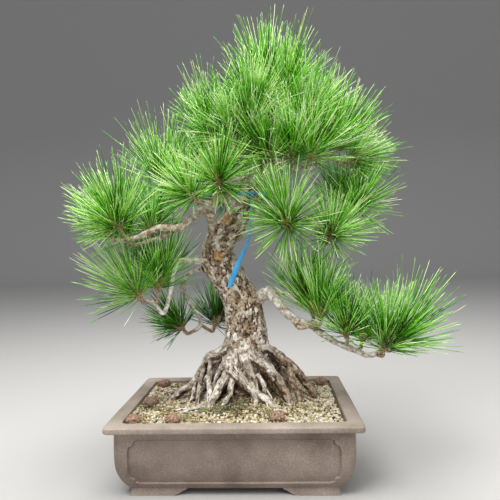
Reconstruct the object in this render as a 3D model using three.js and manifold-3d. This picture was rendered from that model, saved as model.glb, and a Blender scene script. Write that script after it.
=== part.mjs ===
// A black pine bonsai in an unglazed rectangular pot, in millimetres, +Z up.
// The tree, its soil and its pot are set out round the middle of the pot. At the end the whole group moves
// sideways so that the origin is the middle of the part's own footprint.

import * as THREE from "three";
import { mergeVertices } from "three/addons/utils/BufferGeometryUtils.js";
import Module from "manifold-3d";

const wasm = await Module();
wasm.setup();
const { Manifold } = wasm;

// Driving dimensions

const GAP = 0.35; // air between two pieces that touch
const WOOD_GAP = 0.45; // and round the wood in the soil
const FINEST = 0.1; // slivers left by joining are tidied up to this size
const POT = {
  lip: { x: 170, y: 125.5, corner: 6, thickness: 7.8, edge: 1.4 },
  mouth: { x: 150, y: 104.5, corner: 9 },
  body: { x: 160, y: 114, corner: 11 },
  height: 96.4,
  foot: 7, // height of the underside
  floor: 16, // height of the inside
  turnIn: { start: 64, x: 19.5, y: 16, power: 3 }, // how the sides curve in to the underside
  panel: { top: 75, bottom: 20, depth: 1.8, marginX: 21.5, marginY: 20 },
};
const FOOT = { x: 138, y: 104, armX: 59, armY: 38, sweep: 28, wide: 15, into: 14 };
const DRAIN = { x: 75, r: 13 };
const SCREEN = { side: 50, thick: 1.2, holes: 3, bar: 3 };
const SOIL = { edge: 89, mound: 15, spread: 62, grain: 13, relief: 3.2 };
const CAKE = { r: 10.5, squash: 0.72, lump: 0.16 };
const TAG = { strap: 3, blade: 8, thick: 0.8, loop: 21 };
const SHOOT = { r: 2.5, neck: 1.7, bare: 6, bands: 5, pitch: 2.9, bud: 6, sides: 7 };
const NEEDLE = {
  lowest: 0.82, // the lowest needles of a spray and the highest, as shares of its needle length
  highest: 1.06,
  vary: 0.1,
  lean: 12, // the highest needles, in degrees from the shoot's direction
  jitter: 0.16,
  clear: 0.5, // room to everything else
  tries: 60,
  r: 1.2,
  point: 0.05,
  line: { start: 0.02, r: 0.8, room: 0.2 }, // for the test between needles of one shoot
};
const TRUNK_FOOT = { x: 10, y: 13 };
const LOWEST_NEEDLE = 118;

const COLOURS = {
  clay: 0x8b7d73,
  pumice: 0xcdbf98,
  bark: 0x8d7c66,
  needle: 0x4f8f2a,
  cake: 0x6e4331,
  label: 0x2f9bdc,
  mesh: 0x24302a,
};

// The limbs run through hand-set points, each x, y, z and radius

const TRUNK_LOW = [
  [10, 16, 64, 34], [10, 15, 100, 52], [10, 14, 122, 49], [11, 13, 145, 42], [12, 12, 165, 36],
  [13, 12, 185, 32.5], [12, 11, 215, 30], [9, 10, 240, 29.5], [0, 9, 262, 26], [-14, 7, 287, 25.5],
  [-25, 6, 305, 26], [-27, 5, 324, 23.5], [-19, 4, 341, 21.5], [-5, 4, 357, 21.5], [4, 5, 373, 18.5],
  [14, 6, 388, 15.5],
];
const TRUNK_HIGH = [
  [4, 5, 373, 14], [14, 6, 388, 15], [22, 7, 403, 15], [33, 9, 425, 14.5], [43, 10, 446, 12],
  [47, 10, 463, 10.5], [45, 9, 481, 9.5], [38, 7, 497, 8.5], [38, 6, 510, 7.5], [47, 3, 526, 6.5],
  [54, 1, 541, 5.5], [56, 0, 552, 4],
];
const BRANCHES = {
  rightLow: [
    [12, 8, 243, 13], [30, -2, 248, 11], [42, -13, 255, 9], [49, -20, 261, 7.5], [59, -30, 251, 7],
    [70, -36, 237, 6.5], [90, -43, 220, 6], [109, -46, 214, 5], [122, -48, 204, 4.8], [140, -50, 192, 4.4],
    [170, -54, 179, 4], [188, -55, 172, 3.6], [201, -55, 175, 3.4], [217, -54, 181, 3],
  ],
  rightLowTwig: [[57, -28, 252, 4], [64, -28, 259, 3.2], [81, -34, 258, 2.8], [93, -38, 252, 2.6]],
  rightLowHook: [[88, -43, 221, 4], [92, -50, 212, 3.2], [105, -54, 214, 2.8], [116, -56, 221, 2.6]],
  leftLow: [
    [-18, 0, 303, 9], [-35, -8, 306, 7], [-47, -16, 307, 5], [-68, -26, 309, 3.8], [-79, -30, 310, 3.4],
    [-87, -33, 296, 3], [-93, -37, 267, 2.8], [-97, -38, 250, 3], [-104, -39, 233, 2.8],
    [-110, -40, 238, 2.8], [-117, -40, 249, 2.6], [-129, -40, 254, 2.4],
  ],
  leftBack: [
    [-18, 6, 300, 8], [-40, 8, 298, 5], [-63, 14, 294, 4], [-81, 20, 283, 3.6], [-86, 24, 265, 3.4],
    [-81, 26, 249, 3.2], [-69, 28, 229, 3.2], [-60, 29, 215, 3], [-62, 30, 202, 3], [-70, 30, 196, 2.8],
  ],
  leftLong: [
    [-18, 0, 338, 13], [-27, -6, 342, 9], [-32, -14, 357, 8], [-33, -20, 371, 7], [-38, -28, 382, 6.5],
    [-46, -36, 380, 6], [-62, -46, 369, 5.5], [-75, -50, 358, 5], [-103, -58, 357, 4.4],
    [-135, -62, 344, 4], [-157, -62, 341, 3.6], [-168, -62, 343, 3],
  ],
  leftLongLow: [
    [-80, -52, 357, 3.4], [-102, -46, 344, 3.2], [-117, -44, 341, 3], [-141, -42, 334, 2.8],
    [-151, -41, 336, 2.6],
  ],
  hookFront: [
    [14, 4, 392, 8], [-7, -22, 398, 5], [-23, -40, 402, 4.6], [-21, -50, 397, 4.2], [-25, -56, 388, 4.2],
    [-33, -58, 391, 4], [-43, -58, 395, 3.2],
  ],
  leftHigh: [[34, 9, 429, 9], [5, 22, 434, 6], [-30, 24, 432, 5], [-65, 16, 424, 4.4], [-97, 8, 421, 3.6]],
  leftTop: [[46, 9, 478, 7], [20, 12, 480, 5], [-8, 4, 484, 4.2], [-24, -9, 489, 3.2]],
  topFront: [[42, 8, 480, 6], [25, -8, 482, 4.4], [24, -17, 489, 3.6]],
  rightTop: [[46, 3, 524, 6], [75, 6, 512, 4.6], [105, 8, 500, 4.2], [130, 8, 495, 3.4]],
  rightHigh: [
    [40, 9, 446, 9], [59, -12, 448, 5.8], [74, -24, 446, 5.2], [93, -18, 443, 4.8], [108, -14, 442, 4.5],
    [125, -10, 447, 4], [134, -8, 456, 3.8], [147, -6, 459, 3.4], [162, -5, 455, 2.8],
  ],
  rightMid: [
    [20, 8, 392, 11], [47, -10, 383, 6.4], [69, -26, 375, 5.2], [94, -34, 370, 4.6], [111, -34, 365, 4.2],
    [119, -34, 352, 3.6], [130, -34, 342, 3],
  ],
  rightMidFar: [[108, -33, 366, 4], [144, -14, 376, 3.6], [170, -4, 380, 3]],
  backMid: [[12, 8, 382, 10], [8, 40, 392, 6], [-2, 75, 402, 5], [-11, 102, 407, 3.6]],
  backHigh: [[44, 10, 458, 8], [58, 40, 464, 5.2], [73, 72, 471, 3.8]],
};

// The surface roots leave the foot of the trunk and dive into the soil

const ROOTS = [
  [
    [-6, 4, 176, 8], [-27, -3, 166, 7.5], [-44, -2, 159, 6.5], [-58, 0, 134, 6], [-70, 2, 118, 6],
    [-92, 6, 103, 5.5], [-112, 8, 84, 4],
  ],
  [[-50, 0, 150, 4], [-56, -10, 128, 4], [-58, -18, 108, 4], [-62, -26, 84, 3.5]],
  [[-40, -4, 158, 4], [-42, -18, 135, 4.2], [-40, -30, 112, 4], [-42, -38, 84, 3.5]],
  [[-22, 20, 150, 8], [-44, 36, 140, 6.5], [-62, 52, 122, 6], [-78, 66, 104, 5.5], [-92, 78, 82, 4]],
  [
    [-12, -6, 160, 9], [-10, -20, 148, 8], [8, -28, 130, 7.5], [30, -37, 112, 6.5], [52, -40, 98, 5.5],
    [66, -42, 80, 4],
  ],
  [[8, -14, 170, 7], [17, -26, 150, 6.5], [23, -31, 136, 6], [27, -36, 116, 6], [28, -44, 84, 5]],
  [
    [18, -16, 170, 9], [32, -20, 157, 8.5], [48, -22, 144, 8], [62, -20, 126, 7.5], [72, -22, 108, 7],
    [84, -24, 80, 5],
  ],
  [
    [34, 0, 176, 9], [54, 3, 165, 8], [76, 6, 148, 7], [94, 8, 130, 6.5], [110, 10, 108, 6],
    [126, 12, 82, 4.5],
  ],
  [[78, 6, 146, 5], [84, -4, 124, 5], [92, -14, 100, 4.5], [98, -20, 80, 3.5]],
  [[-14, -14, 138, 9], [-28, -26, 118, 7.5], [-38, -40, 98, 6], [-46, -52, 80, 4]],
  [[14, 40, 150, 9], [14, 58, 128, 8], [6, 78, 104, 6.5], [0, 92, 82, 4.5]],
  [[32, 30, 160, 9], [56, 44, 138, 8], [78, 58, 112, 7], [96, 70, 84, 4.5]],
  [[-16, 34, 140, 8], [-34, 58, 116, 7], [-46, 80, 98, 5.5], [-52, 90, 80, 4]],
  [[58, 4, 150, 6], [64, 20, 128, 6], [86, 34, 104, 5.5], [102, 42, 82, 4]],
];

// Each spray: where its twig leaves the branch, where the shoot begins, the way the shoot points, the length
// of its needles, and how far they spread, in degrees from the shoot's own direction

const SPRAYS = {
  left_far_1: {
    from: [-146, -62, 343], at: [-157, -60, 357], aim: [-0.1, -0.3, 0.95], length: 92, spread: 80,
  },
  left_far_2: {
    from: [-160, -62, 341], at: [-172, -61, 348], aim: [-0.7, -0.2, 0.65], length: 64, spread: 85,
  },
  left_far_3: {
    from: [-150, -62, 342], at: [-156, -71, 356], aim: [-0.5, -0.55, 0.67], length: 68, spread: 85,
  },
  left_far_4: {
    from: [-141, -42, 334], at: [-155, -42, 337], aim: [-0.5, 0.5, 0.7], length: 82, spread: 82,
  },
  left_far_5: {
    from: [-117, -44, 341], at: [-122, -35, 349], aim: [0.05, 0.3, 0.95], length: 84, spread: 80,
  },
  hook_1: {
    from: [-34, -58, 391], at: [-49, -57, 394], aim: [-0.55, -0.35, 0.76], length: 64, spread: 100,
  },
  hook_2: { from: [-30, -58, 390], at: [-18, -60, 406], aim: [0.1, -0.4, 0.91], length: 68, spread: 100 },
  left_high_1: {
    from: [-88, 10, 422], at: [-109, 6, 423], aim: [-0.4, -0.1, 0.91], length: 108, spread: 68,
  },
  left_high_2: {
    from: [-65, 16, 424], at: [-81, 21, 433], aim: [-0.15, 0.3, 0.94], length: 98, spread: 78,
  },
  left_high_3: { from: [-28, 24, 432], at: [-45, 37, 440], aim: [-0.3, 0.5, 0.81], length: 90, spread: 85 },
  left_top_1: {
    from: [-14, -1, 486], at: [-30, -15, 492], aim: [-0.3, -0.35, 0.89], length: 94, spread: 72,
  },
  left_top_2: { from: [-6, 5, 483], at: [-37, 17, 488], aim: [-0.6, 0.1, 0.79], length: 94, spread: 70 },
  top_front_1: {
    from: [24, -12, 485], at: [29, -23, 493], aim: [-0.05, -0.4, 0.92], length: 90, spread: 80,
  },
  top_front_2: {
    from: [23, -14, 487], at: [8, -24, 485], aim: [-0.45, -0.5, 0.74], length: 78, spread: 85,
  },
  top_1: { from: [55, 0, 547], at: [55, 0, 560], aim: [-0.05, -0.05, 1], length: 108, spread: 62 },
  top_2: { from: [53, 1, 538], at: [75, -6, 548], aim: [0.3, -0.2, 0.93], length: 104, spread: 70 },
  top_3: { from: [50, 2, 533], at: [38, 19, 538], aim: [-0.2, 0.5, 0.84], length: 96, spread: 80 },
  top_4: { from: [52, 1, 537], at: [80, 18, 543], aim: [0.5, 0.4, 0.77], length: 96, spread: 80 },
  top_5: { from: [45, 4, 523], at: [37, -19, 525], aim: [-0.15, -0.5, 0.85], length: 84, spread: 85 },
  right_top_1: { from: [118, 8, 497], at: [143, 8, 497], aim: [0.35, -0.05, 0.94], length: 96, spread: 68 },
  right_top_2: { from: [100, 8, 502], at: [109, -6, 507], aim: [0.1, -0.45, 0.89], length: 90, spread: 82 },
  right_top_3: { from: [96, 8, 503], at: [107, 31, 507], aim: [0.3, 0.6, 0.74], length: 88, spread: 85 },
  right_high_1: {
    from: [72, -23, 446], at: [89, -29, 450], aim: [-0.1, -0.45, 0.89], length: 88, spread: 85,
  },
  right_high_2: {
    from: [106, -14, 442], at: [112, -25, 451], aim: [0.3, -0.5, 0.81], length: 80, spread: 88,
  },
  right_high_3: {
    from: [58, -11, 448], at: [61, -34, 450], aim: [-0.5, -0.5, 0.71], length: 74, spread: 88,
  },
  right_high_4: {
    from: [143, -7, 458], at: [152, -5, 467], aim: [0.45, -0.15, 0.88], length: 100, spread: 76,
  },
  right_high_5: {
    from: [155, -5, 457], at: [170, -2, 452], aim: [0.93, -0.15, 0.33], length: 66, spread: 72,
  },
  right_mid_1: {
    from: [98, -34, 369], at: [83, -53, 353], aim: [0.03, -0.45, 0.89], length: 70, spread: 122,
  },
  right_mid_2: {
    from: [124, -34, 347], at: [138, -32, 334], aim: [0.4, -0.4, 0.82], length: 70, spread: 112,
  },
  right_mid_3: {
    from: [162, -7, 379], at: [182, 4, 376], aim: [0.4, -0.35, 0.85], length: 72, spread: 102,
  },
  right_mid_4: {
    from: [146, -13, 376], at: [161, 11, 382], aim: [0.15, 0.35, 0.92], length: 80, spread: 85,
  },
  right_low_1: {
    from: [108, -54, 216], at: [122, -55, 222], aim: [0, -0.25, 0.97], length: 84, spread: 84,
  },
  right_low_2: {
    from: [85, -35, 256], at: [101, -40, 248], aim: [-0.1, -0.1, 0.98], length: 86, spread: 82,
  },
  right_low_3: { from: [108, -46, 214], at: [118, -30, 224], aim: [0.2, 0.4, 0.9], length: 88, spread: 82 },
  right_low_4: {
    from: [156, -52, 185], at: [160, -59, 196], aim: [-0.05, -0.3, 0.95], length: 88, spread: 80,
  },
  right_low_5: { from: [172, -54, 178], at: [181, -44, 187], aim: [0.1, 0.4, 0.9], length: 92, spread: 80 },
  right_low_6: {
    from: [198, -55, 174], at: [207, -64, 178], aim: [0.15, -0.4, 0.9], length: 92, spread: 82,
  },
  right_low_7: {
    from: [210, -54, 178], at: [225, -49, 183], aim: [0.5, -0.1, 0.85], length: 108, spread: 80,
  },
  left_low_1: {
    from: [-123, -40, 252], at: [-136, -38, 254], aim: [-0.55, -0.3, 0.78], length: 100, spread: 86,
  },
  left_low_2: {
    from: [-116, -40, 248], at: [-112, -39, 266], aim: [0, -0.35, 0.94], length: 84, spread: 86,
  },
  left_low_3: {
    from: [-90, -35, 281], at: [-100, -27, 283], aim: [-0.45, 0.35, 0.82], length: 90, spread: 82,
  },
  left_back_1: {
    from: [-66, 30, 198], at: [-86, 28, 196], aim: [-0.65, -0.15, 0.74], length: 62, spread: 88,
  },
  left_back_2: { from: [-61, 30, 206], at: [-40, 44, 198], aim: [0.25, 0.4, 0.88], length: 70, spread: 90 },
  back_mid_1: { from: [-8, 92, 405], at: [-18, 112, 408], aim: [-0.4, 0.65, 0.65], length: 84, spread: 88 },
  back_mid_2: { from: [-1, 73, 401], at: [22, 94, 405], aim: [0.45, 0.5, 0.74], length: 84, spread: 88 },
  back_high_1: { from: [68, 62, 469], at: [79, 82, 473], aim: [0.35, 0.65, 0.68], length: 86, spread: 88 },
  back_high_2: { from: [58, 40, 464], at: [44, 59, 474], aim: [-0.25, 0.45, 0.86], length: 86, spread: 88 },
};

// Cakes of fertiliser, x, y and the turn about Z in degrees

const CAKES = [
  [-137, -91, 10], [-133, -6, 75], [-134, 90, 140], [-84, -90, 205], [58, -88, 290], [136, 90, 330],
];

// The label hangs from its loop round the trunk, down across the trunk's front

const TAG_LOOP = [27.1, 9.6, 409];
const TAG_TAIL = [
  [27, -12, 409], [27, -16, 395], [26, -25, 365], [21, -29, 336], [6, -30, 303], [-8, -30, 269],
];

// The tail's cross sections: how far down it each stands, and its width, from 0 (the strap) to 1 (the blade)
const TAG_STEPS = [
  [0, 0], [0.16, 0], [0.32, 0], [0.44, 0.1], [0.52, 0.85],
  [0.6, 1], [0.72, 1], [0.86, 1], [0.95, 0.9], [1, 0.2],
];

// Small helpers

function seeded(seed) {
  let state = seed >>> 0;
  return () => {
    state = (state + 0x6d2b79f5) >>> 0;
    let t = Math.imul(state ^ (state >>> 15), state | 1);
    t ^= t + Math.imul(t ^ (t >>> 7), t | 61);
    return ((t ^ (t >>> 14)) >>> 0) / 4294967296;
  };
}

const vec = ([x, y, z]) => new THREE.Vector3(x, y, z);

// A closed mesh becomes a solid once its shared corners are merged
function solidOf(geometry) {
  const bare = geometry.clone();
  bare.deleteAttribute("normal");
  bare.deleteAttribute("uv");
  const merged = mergeVertices(bare, 1e-4);
  return new Manifold(
    new wasm.Mesh({
      numProp: 3,
      vertProperties: new Float32Array(merged.attributes.position.array),
      triVerts: new Uint32Array(merged.index.array),
    }),
  );
}

function geometryOf(solid) {
  const mesh = solid.getMesh();
  const geometry = new THREE.BufferGeometry();
  geometry.setAttribute("position", new THREE.BufferAttribute(new Float32Array(mesh.vertProperties), 3));
  geometry.setIndex(new THREE.BufferAttribute(new Uint32Array(mesh.triVerts), 1));
  return geometry;
}

// A rounded rectangle with four corners of three steps each
function roundedOutline(halfX, halfY, corner) {
  const shape = new THREE.Shape();
  shape.absarc(halfX - corner, halfY - corner, corner, 0, Math.PI / 2);
  shape.absarc(corner - halfX, halfY - corner, corner, Math.PI / 2, Math.PI);
  shape.absarc(corner - halfX, corner - halfY, corner, Math.PI, Math.PI * 1.5);
  shape.absarc(halfX - corner, corner - halfY, corner, Math.PI * 1.5, Math.PI * 2);
  const steps = 3;
  return shape.curves
    .filter((curve) => curve.isEllipseCurve)
    .flatMap((curve) => curve.getPoints(steps));
}

// A stack of rounded rectangles, skinned and closed at both ends
function loft(levels) {
  const rings = levels.map(({ z, x, y, corner }) => roundedOutline(x, y, corner).map((p) => [p.x, p.y, z]));
  const count = rings[0].length;
  const positions = rings.flat(2);
  const index = [];
  for (let level = 0; level + 1 < rings.length; level++) {
    for (let i = 0; i < count; i++) {
      const [a, b] = [level * count + i, level * count + ((i + 1) % count)];
      index.push(a, b, b + count, a, b + count, a + count);
    }
  }
  const top = (rings.length - 1) * count;
  for (let i = 1; i + 1 < count; i++) {
    index.push(0, i + 1, i);
    index.push(top, top + i, top + i + 1);
  }
  const geometry = new THREE.BufferGeometry();
  geometry.setAttribute("position", new THREE.Float32BufferAttribute(positions, 3));
  geometry.setIndex(index);
  return solidOf(geometry);
}

// A cylinder whose rings are carried along the curve through the points. grow fattens and lengthens it alike,
// and bumps, where given, holds one radius factor for each corner of each ring.
function limb(points, { sides, spacing, grow = 0, bumps = null }) {
  const curve = new THREE.CatmullRomCurve3(points.map(vec), false, "centripetal");
  const steps = Math.max(2, Math.round(curve.getLength() / spacing));
  const ends = [
    curve.points[1].clone().sub(curve.points[0]).normalize(),
    curve.points.at(-1).clone().sub(curve.points.at(-2)).normalize(),
  ];
  const frames = [];
  let side = new THREE.Vector3(0.3, 0.8, 0.5);
  for (let i = 0; i <= steps; i++) {
    const u = i / steps;
    const along = i === 0 ? ends[0] : i === steps ? ends[1] : curve.getTangentAt(u);
    const centre = curve.getPointAt(u);
    if (i === 0) centre.addScaledVector(along, -grow);
    if (i === steps) centre.addScaledVector(along, grow);
    side = side.clone().addScaledVector(along, -side.dot(along)).normalize();
    const place = curve.getUtoTmapping(u) * (points.length - 1);
    const before = Math.min(Math.floor(place), points.length - 2);
    const radius = THREE.MathUtils.lerp(points[before][3], points[before + 1][3], place - before);
    frames.push({ centre, side, across: side.clone().cross(along), radius });
  }
  const geometry = new THREE.CylinderGeometry(1, 1, 1, sides, steps);
  const position = geometry.attributes.position;
  for (let i = 0; i < position.count; i++) {
    const [x, y, z] = [position.getX(i), position.getY(i), position.getZ(i)];
    const ring = Math.round((y + 0.5) * steps);
    const frame = frames[ring];
    const corner = (Math.round((Math.atan2(x, z) / (2 * Math.PI)) * sides) + sides) % sides;
    const factor = bumps ? bumps[(ring * sides + corner) % bumps.length] : 1;
    const radius = frame.radius * factor + grow;
    const point = frame.centre.clone()
      .addScaledVector(frame.side, x * radius)
      .addScaledVector(frame.across, z * radius);
    position.setXYZ(i, point.x, point.y, point.z);
  }
  return solidOf(geometry);
}

function box(x, y, z, centre) {
  return solidOf(new THREE.BoxGeometry(x, y, z).translate(...centre));
}

const group = new THREE.Group();

function addPiece(name, geometry, colour, roughness) {
  const material = new THREE.MeshStandardMaterial({ color: colour, roughness, metalness: 0, flatShading: true });
  const mesh = new THREE.Mesh(geometry, material);
  mesh.name = name;
  group.add(mesh);
}

// Pot: a body that curves in to its underside, a flat lip, a sunk panel on each side and four feet

function potSide(inset) {
  const { body, turnIn, foot } = POT;
  const heights = [foot, 9.5, 13, 18, 25, 35, turnIn.start, POT.height - 3];
  return heights.map((z) => {
    const turn = Math.max(0, (turnIn.start - z) / (turnIn.start - foot)) ** turnIn.power;
    return {
      z: z === foot ? foot + inset : z,
      x: body.x - turnIn.x * turn - inset,
      y: body.y - turnIn.y * turn - inset,
      corner: body.corner - inset,
    };
  });
}

function mouthSide(grow, top) {
  const { mouth, floor } = POT;
  const levels = [[floor, 20, 17], [21, 12, 10], [32, 5, 4], [52, 1, 1], [top, 0, 0]];
  return levels.map(([z, insetX, insetY]) => ({
    z: z === floor ? floor - grow : z,
    x: mouth.x - insetX + grow,
    y: mouth.y - insetY + grow,
    corner: mouth.corner + grow,
  }));
}

// The outline of a sunk panel, with its corners stepped inwards
function panelOutline(half) {
  const { top, bottom } = POT.panel;
  const step = [[11, 0], [8, 5], [3, 8], [0, 12]];
  const right = [
    ...step.map(([x, z]) => [half - x, top - z]),
    ...step.toReversed().map(([x, z]) => [half - x, bottom + z]),
  ];
  const left = right.toReversed().map(([x, z]) => [-x, z]);
  return new THREE.Shape([...right, ...left].map(([x, z]) => new THREE.Vector2(x, z)));
}

function panelPrism(half, reach) {
  const prism = new THREE.ExtrudeGeometry(panelOutline(half), { depth: 2 * reach, bevelEnabled: false });
  return prism.rotateX(Math.PI / 2).translate(0, reach, 0);
}

// One arm of a foot: flat underneath, then sweeping up to the pot's underside
function footArm(arm) {
  const { sweep, wide, into } = FOOT;
  const shape = new THREE.Shape();
  shape.moveTo(0, 0);
  shape.lineTo(arm, 0);
  shape.bezierCurveTo(arm + sweep * 0.45, 0.5, arm + sweep * 0.55, 5, arm + sweep, POT.foot);
  shape.lineTo(arm + sweep, POT.foot + 1);
  shape.lineTo(0, into);
  const upright = new THREE.ExtrudeGeometry(shape, { depth: wide, bevelEnabled: false, curveSegments: 4 });
  return upright.rotateX(Math.PI / 2).translate(0, wide, 0);
}

function foot(signX, signY) {
  const alongX = solidOf(footArm(FOOT.armX));
  const alongY = solidOf(footArm(FOOT.armY)).mirror([1, -1, 0]);
  const corner = alongX.add(alongY).translate([-FOOT.x, -FOOT.y, 0]);
  const flippedX = signX > 0 ? corner.mirror([1, 0, 0]) : corner;
  return signY > 0 ? flippedX.mirror([0, 1, 0]) : flippedX;
}

const { lip, panel } = POT;
const lipSolid = loft([
  { z: POT.height - lip.thickness, x: lip.x - lip.edge, y: lip.y - lip.edge, corner: lip.corner },
  { z: POT.height - lip.thickness + lip.edge, x: lip.x, y: lip.y, corner: lip.corner + lip.edge },
  { z: POT.height - lip.edge, x: lip.x, y: lip.y, corner: lip.corner + lip.edge },
  { z: POT.height, x: lip.x - lip.edge, y: lip.y - lip.edge, corner: lip.corner },
]);
const panels = solidOf(panelPrism(POT.body.x - panel.marginX, 150))
  .add(solidOf(panelPrism(POT.body.y - panel.marginY, 190).rotateZ(Math.PI / 2)))
  .subtract(loft(potSide(panel.depth)));
let pot = loft(potSide(0)).subtract(panels).add(lipSolid);
for (const signX of [-1, 1]) {
  for (const signY of [-1, 1]) pot = pot.add(foot(signX, signY));
}
pot = pot.subtract(loft(mouthSide(0, POT.height + 5)));
for (const side of [-1, 1]) {
  const drain = new THREE.CylinderGeometry(DRAIN.r, DRAIN.r, 2 * POT.floor, 12).rotateX(Math.PI / 2);
  pot = pot.subtract(solidOf(drain.translate(side * DRAIN.x, 0, POT.foot + 5)));
}
addPiece("pot", geometryOf(pot.asOriginal()), COLOURS.clay, 0.85);

// Screens: squares of coarse plastic mesh over the drain holes

function screen(x) {
  const { side, thick, holes, bar } = SCREEN;
  const z = POT.floor + GAP + thick / 2;
  const pitch = (side - bar) / holes;
  let plate = box(side, side, thick, [x, 0, z]);
  for (let i = 0; i < holes; i++) {
    for (let j = 0; j < holes; j++) {
      const centre = [x + (i - (holes - 1) / 2) * pitch, (j - (holes - 1) / 2) * pitch, z];
      plate = plate.subtract(box(pitch - bar, pitch - bar, thick * 2, centre));
    }
  }
  return plate;
}
addPiece("screen_left", geometryOf(screen(-DRAIN.x)), COLOURS.mesh, 0.6);
addPiece("screen_right", geometryOf(screen(DRAIN.x)), COLOURS.mesh, 0.6);

// Wood: trunk, surface roots, branches and the twigs that carry the sprays, grown as one piece

const LIMB = { sides: 5, spacing: 20 };
const ROOT = { sides: 5, spacing: 22 };
const TWIG = { sides: 4, spacing: 20 };
const BARK_RELIEF = 0.13;
const barkRandom = seeded(71);
const barkBumps = (count) => Array.from({ length: count }, () => 1 + BARK_RELIEF * (barkRandom() - 0.45));
const LOW_BARK = { sides: 12, spacing: 13, bumps: barkBumps(480) };
const HIGH_BARK = { sides: 8, spacing: 15, bumps: barkBumps(200) };

function twig({ from, at, aim }) {
  const way = vec(aim).normalize();
  const end = vec(at);
  const lead = end.clone().addScaledVector(way, -7);
  return [[...from, 2.8], [...lead.toArray(), 2.5], [...end.toArray(), SHOOT.r]];
}

const buried = (grow) => [
  limb(TRUNK_LOW, { ...LOW_BARK, grow }),
  ...ROOTS.map((root) => limb(root, { ...ROOT, grow })),
];
const limbs = [...Object.values(BRANCHES), ...Object.values(SPRAYS).map(twig)];
const wood = Manifold.union([
  ...buried(0),
  limb(TRUNK_HIGH, HIGH_BARK),
  ...Object.values(BRANCHES).map((points) => limb(points, LIMB)),
  ...Object.values(SPRAYS).map((spray) => limb(twig(spray), TWIG)),
]);
addPiece("wood", geometryOf(wood.asOriginal().simplify(FINEST)), COLOURS.bark, 0.9);

// Cakes of fertiliser: lumpy discs pressed a little into the soil

function soilHeight(x, y) {
  const { edge, mound, spread } = SOIL;
  const away = Math.hypot(x - TRUNK_FOOT.x, y - TRUNK_FOOT.y) / spread;
  return edge + mound * Math.exp(-(away ** 2) / 2);
}

function cake([x, y, turn], which, grow) {
  const random = seeded(40 + which);
  const ball = new THREE.IcosahedronGeometry(1, 1).deleteAttribute("normal").deleteAttribute("uv");
  const geometry = mergeVertices(ball, 1e-4);
  const position = geometry.attributes.position;
  for (let i = 0; i < position.count; i++) {
    const r = CAKE.r * (1 + CAKE.lump * (random() - 0.5)) + grow;
    position.setXYZ(i, position.getX(i) * r, position.getY(i) * r, position.getZ(i) * (r * CAKE.squash));
  }
  const lift = CAKE.r * CAKE.squash * 0.7;
  return solidOf(geometry.rotateZ(THREE.MathUtils.degToRad(turn)).translate(x, y, soilHeight(x, y) + lift));
}

// Soil: fills the pot, mounded towards the trunk, with its grains as relief and plain holes for the wood

function soilBlock() {
  const { grain, relief } = SOIL;
  const random = seeded(19);
  const [sizeX, sizeY, bottom] = [POT.mouth.x * 2 + 8, POT.mouth.y * 2 + 8, POT.floor - 6];
  const [cellsX, cellsY] = [Math.round(sizeX / grain), Math.round(sizeY / grain)];
  const geometry = new THREE.BoxGeometry(sizeX, sizeY, 1, cellsX, cellsY, 1);
  geometry.deleteAttribute("normal");
  geometry.deleteAttribute("uv");
  const merged = mergeVertices(geometry, 1e-4);
  const position = merged.attributes.position;
  for (let i = 0; i < position.count; i++) {
    const [x, y] = [position.getX(i), position.getY(i)];
    const top = position.getZ(i) > 0;
    const shift = () => (random() - 0.5) * grain * 0.45;
    const inside = Math.abs(x) < sizeX / 2 - 1 && Math.abs(y) < sizeY / 2 - 1;
    const [dx, dy] = [shift(), shift()];
    const z = soilHeight(x, y) + relief * (random() - 0.5);
    if (top && inside) position.setXYZ(i, x + dx, y + dy, z);
    else position.setZ(i, top ? z : bottom);
  }
  return solidOf(merged);
}

function pocket(x) {
  const [side, deep] = [SCREEN.side + 2 * GAP, 8];
  return box(side, side, deep, [x, 0, POT.floor + SCREEN.thick + 2 * GAP - deep / 2]);
}

const hollows = [
  ...buried(WOOD_GAP),
  ...CAKES.map((spot, i) => cake(spot, i, GAP)),
  pocket(-DRAIN.x),
  pocket(DRAIN.x),
];
const soil = soilBlock()
  .intersect(loft(mouthSide(-GAP, POT.height + SOIL.mound)))
  .subtract(Manifold.union(hollows));
addPiece("soil", geometryOf(soil.asOriginal().simplify(FINEST)), COLOURS.pumice, 0.95);
CAKES.forEach((spot, i) => addPiece(`cake_${i + 1}`, geometryOf(cake(spot, i, 0)), COLOURS.cake, 0.95));

// Tag: a strip of plastic that loops loosely round the trunk and hangs down in front of it

function tail() {
  const { strap, blade, thick } = TAG;
  const curve = new THREE.CatmullRomCurve3(TAG_TAIL.map(vec), false, "centripetal");
  const geometry = new THREE.BoxGeometry(1, 1, thick, 1, TAG_STEPS.length - 1, 1);
  const position = geometry.attributes.position;
  const facing = new THREE.Vector3(1, 0.15, 0.35);
  for (let i = 0; i < position.count; i++) {
    const [u, wide] = TAG_STEPS[Math.round((position.getY(i) + 0.5) * (TAG_STEPS.length - 1))];
    const along = curve.getTangentAt(u);
    const across = facing.clone().addScaledVector(along, -along.dot(facing)).normalize();
    const out = across.clone().cross(along);
    const point = curve.getPointAt(u)
      .addScaledVector(across, position.getX(i) * (wide * blade + (1 - wide) * strap))
      .addScaledVector(out, position.getZ(i));
    position.setXYZ(i, point.x, point.y, point.z);
  }
  return solidOf(geometry);
}

function tagLoop() {
  const { strap, thick, loop } = TAG;
  const [low, high] = [-strap / 2, strap / 2];
  const profile = [[loop, low], [loop + thick, low], [loop + thick, high], [loop, high], [loop, low]];
  const ring = new THREE.LatheGeometry(profile.map(([r, y]) => new THREE.Vector2(r, y)), 16);
  return solidOf(ring.rotateX(Math.PI / 2).translate(...TAG_LOOP));
}
addPiece("tag", geometryOf(tagLoop().add(tail())), COLOURS.label, 0.35);

// Sprays: a slim shoot with needles all round it. A needle that would touch anything else is drawn again.

const taken = [];

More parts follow.
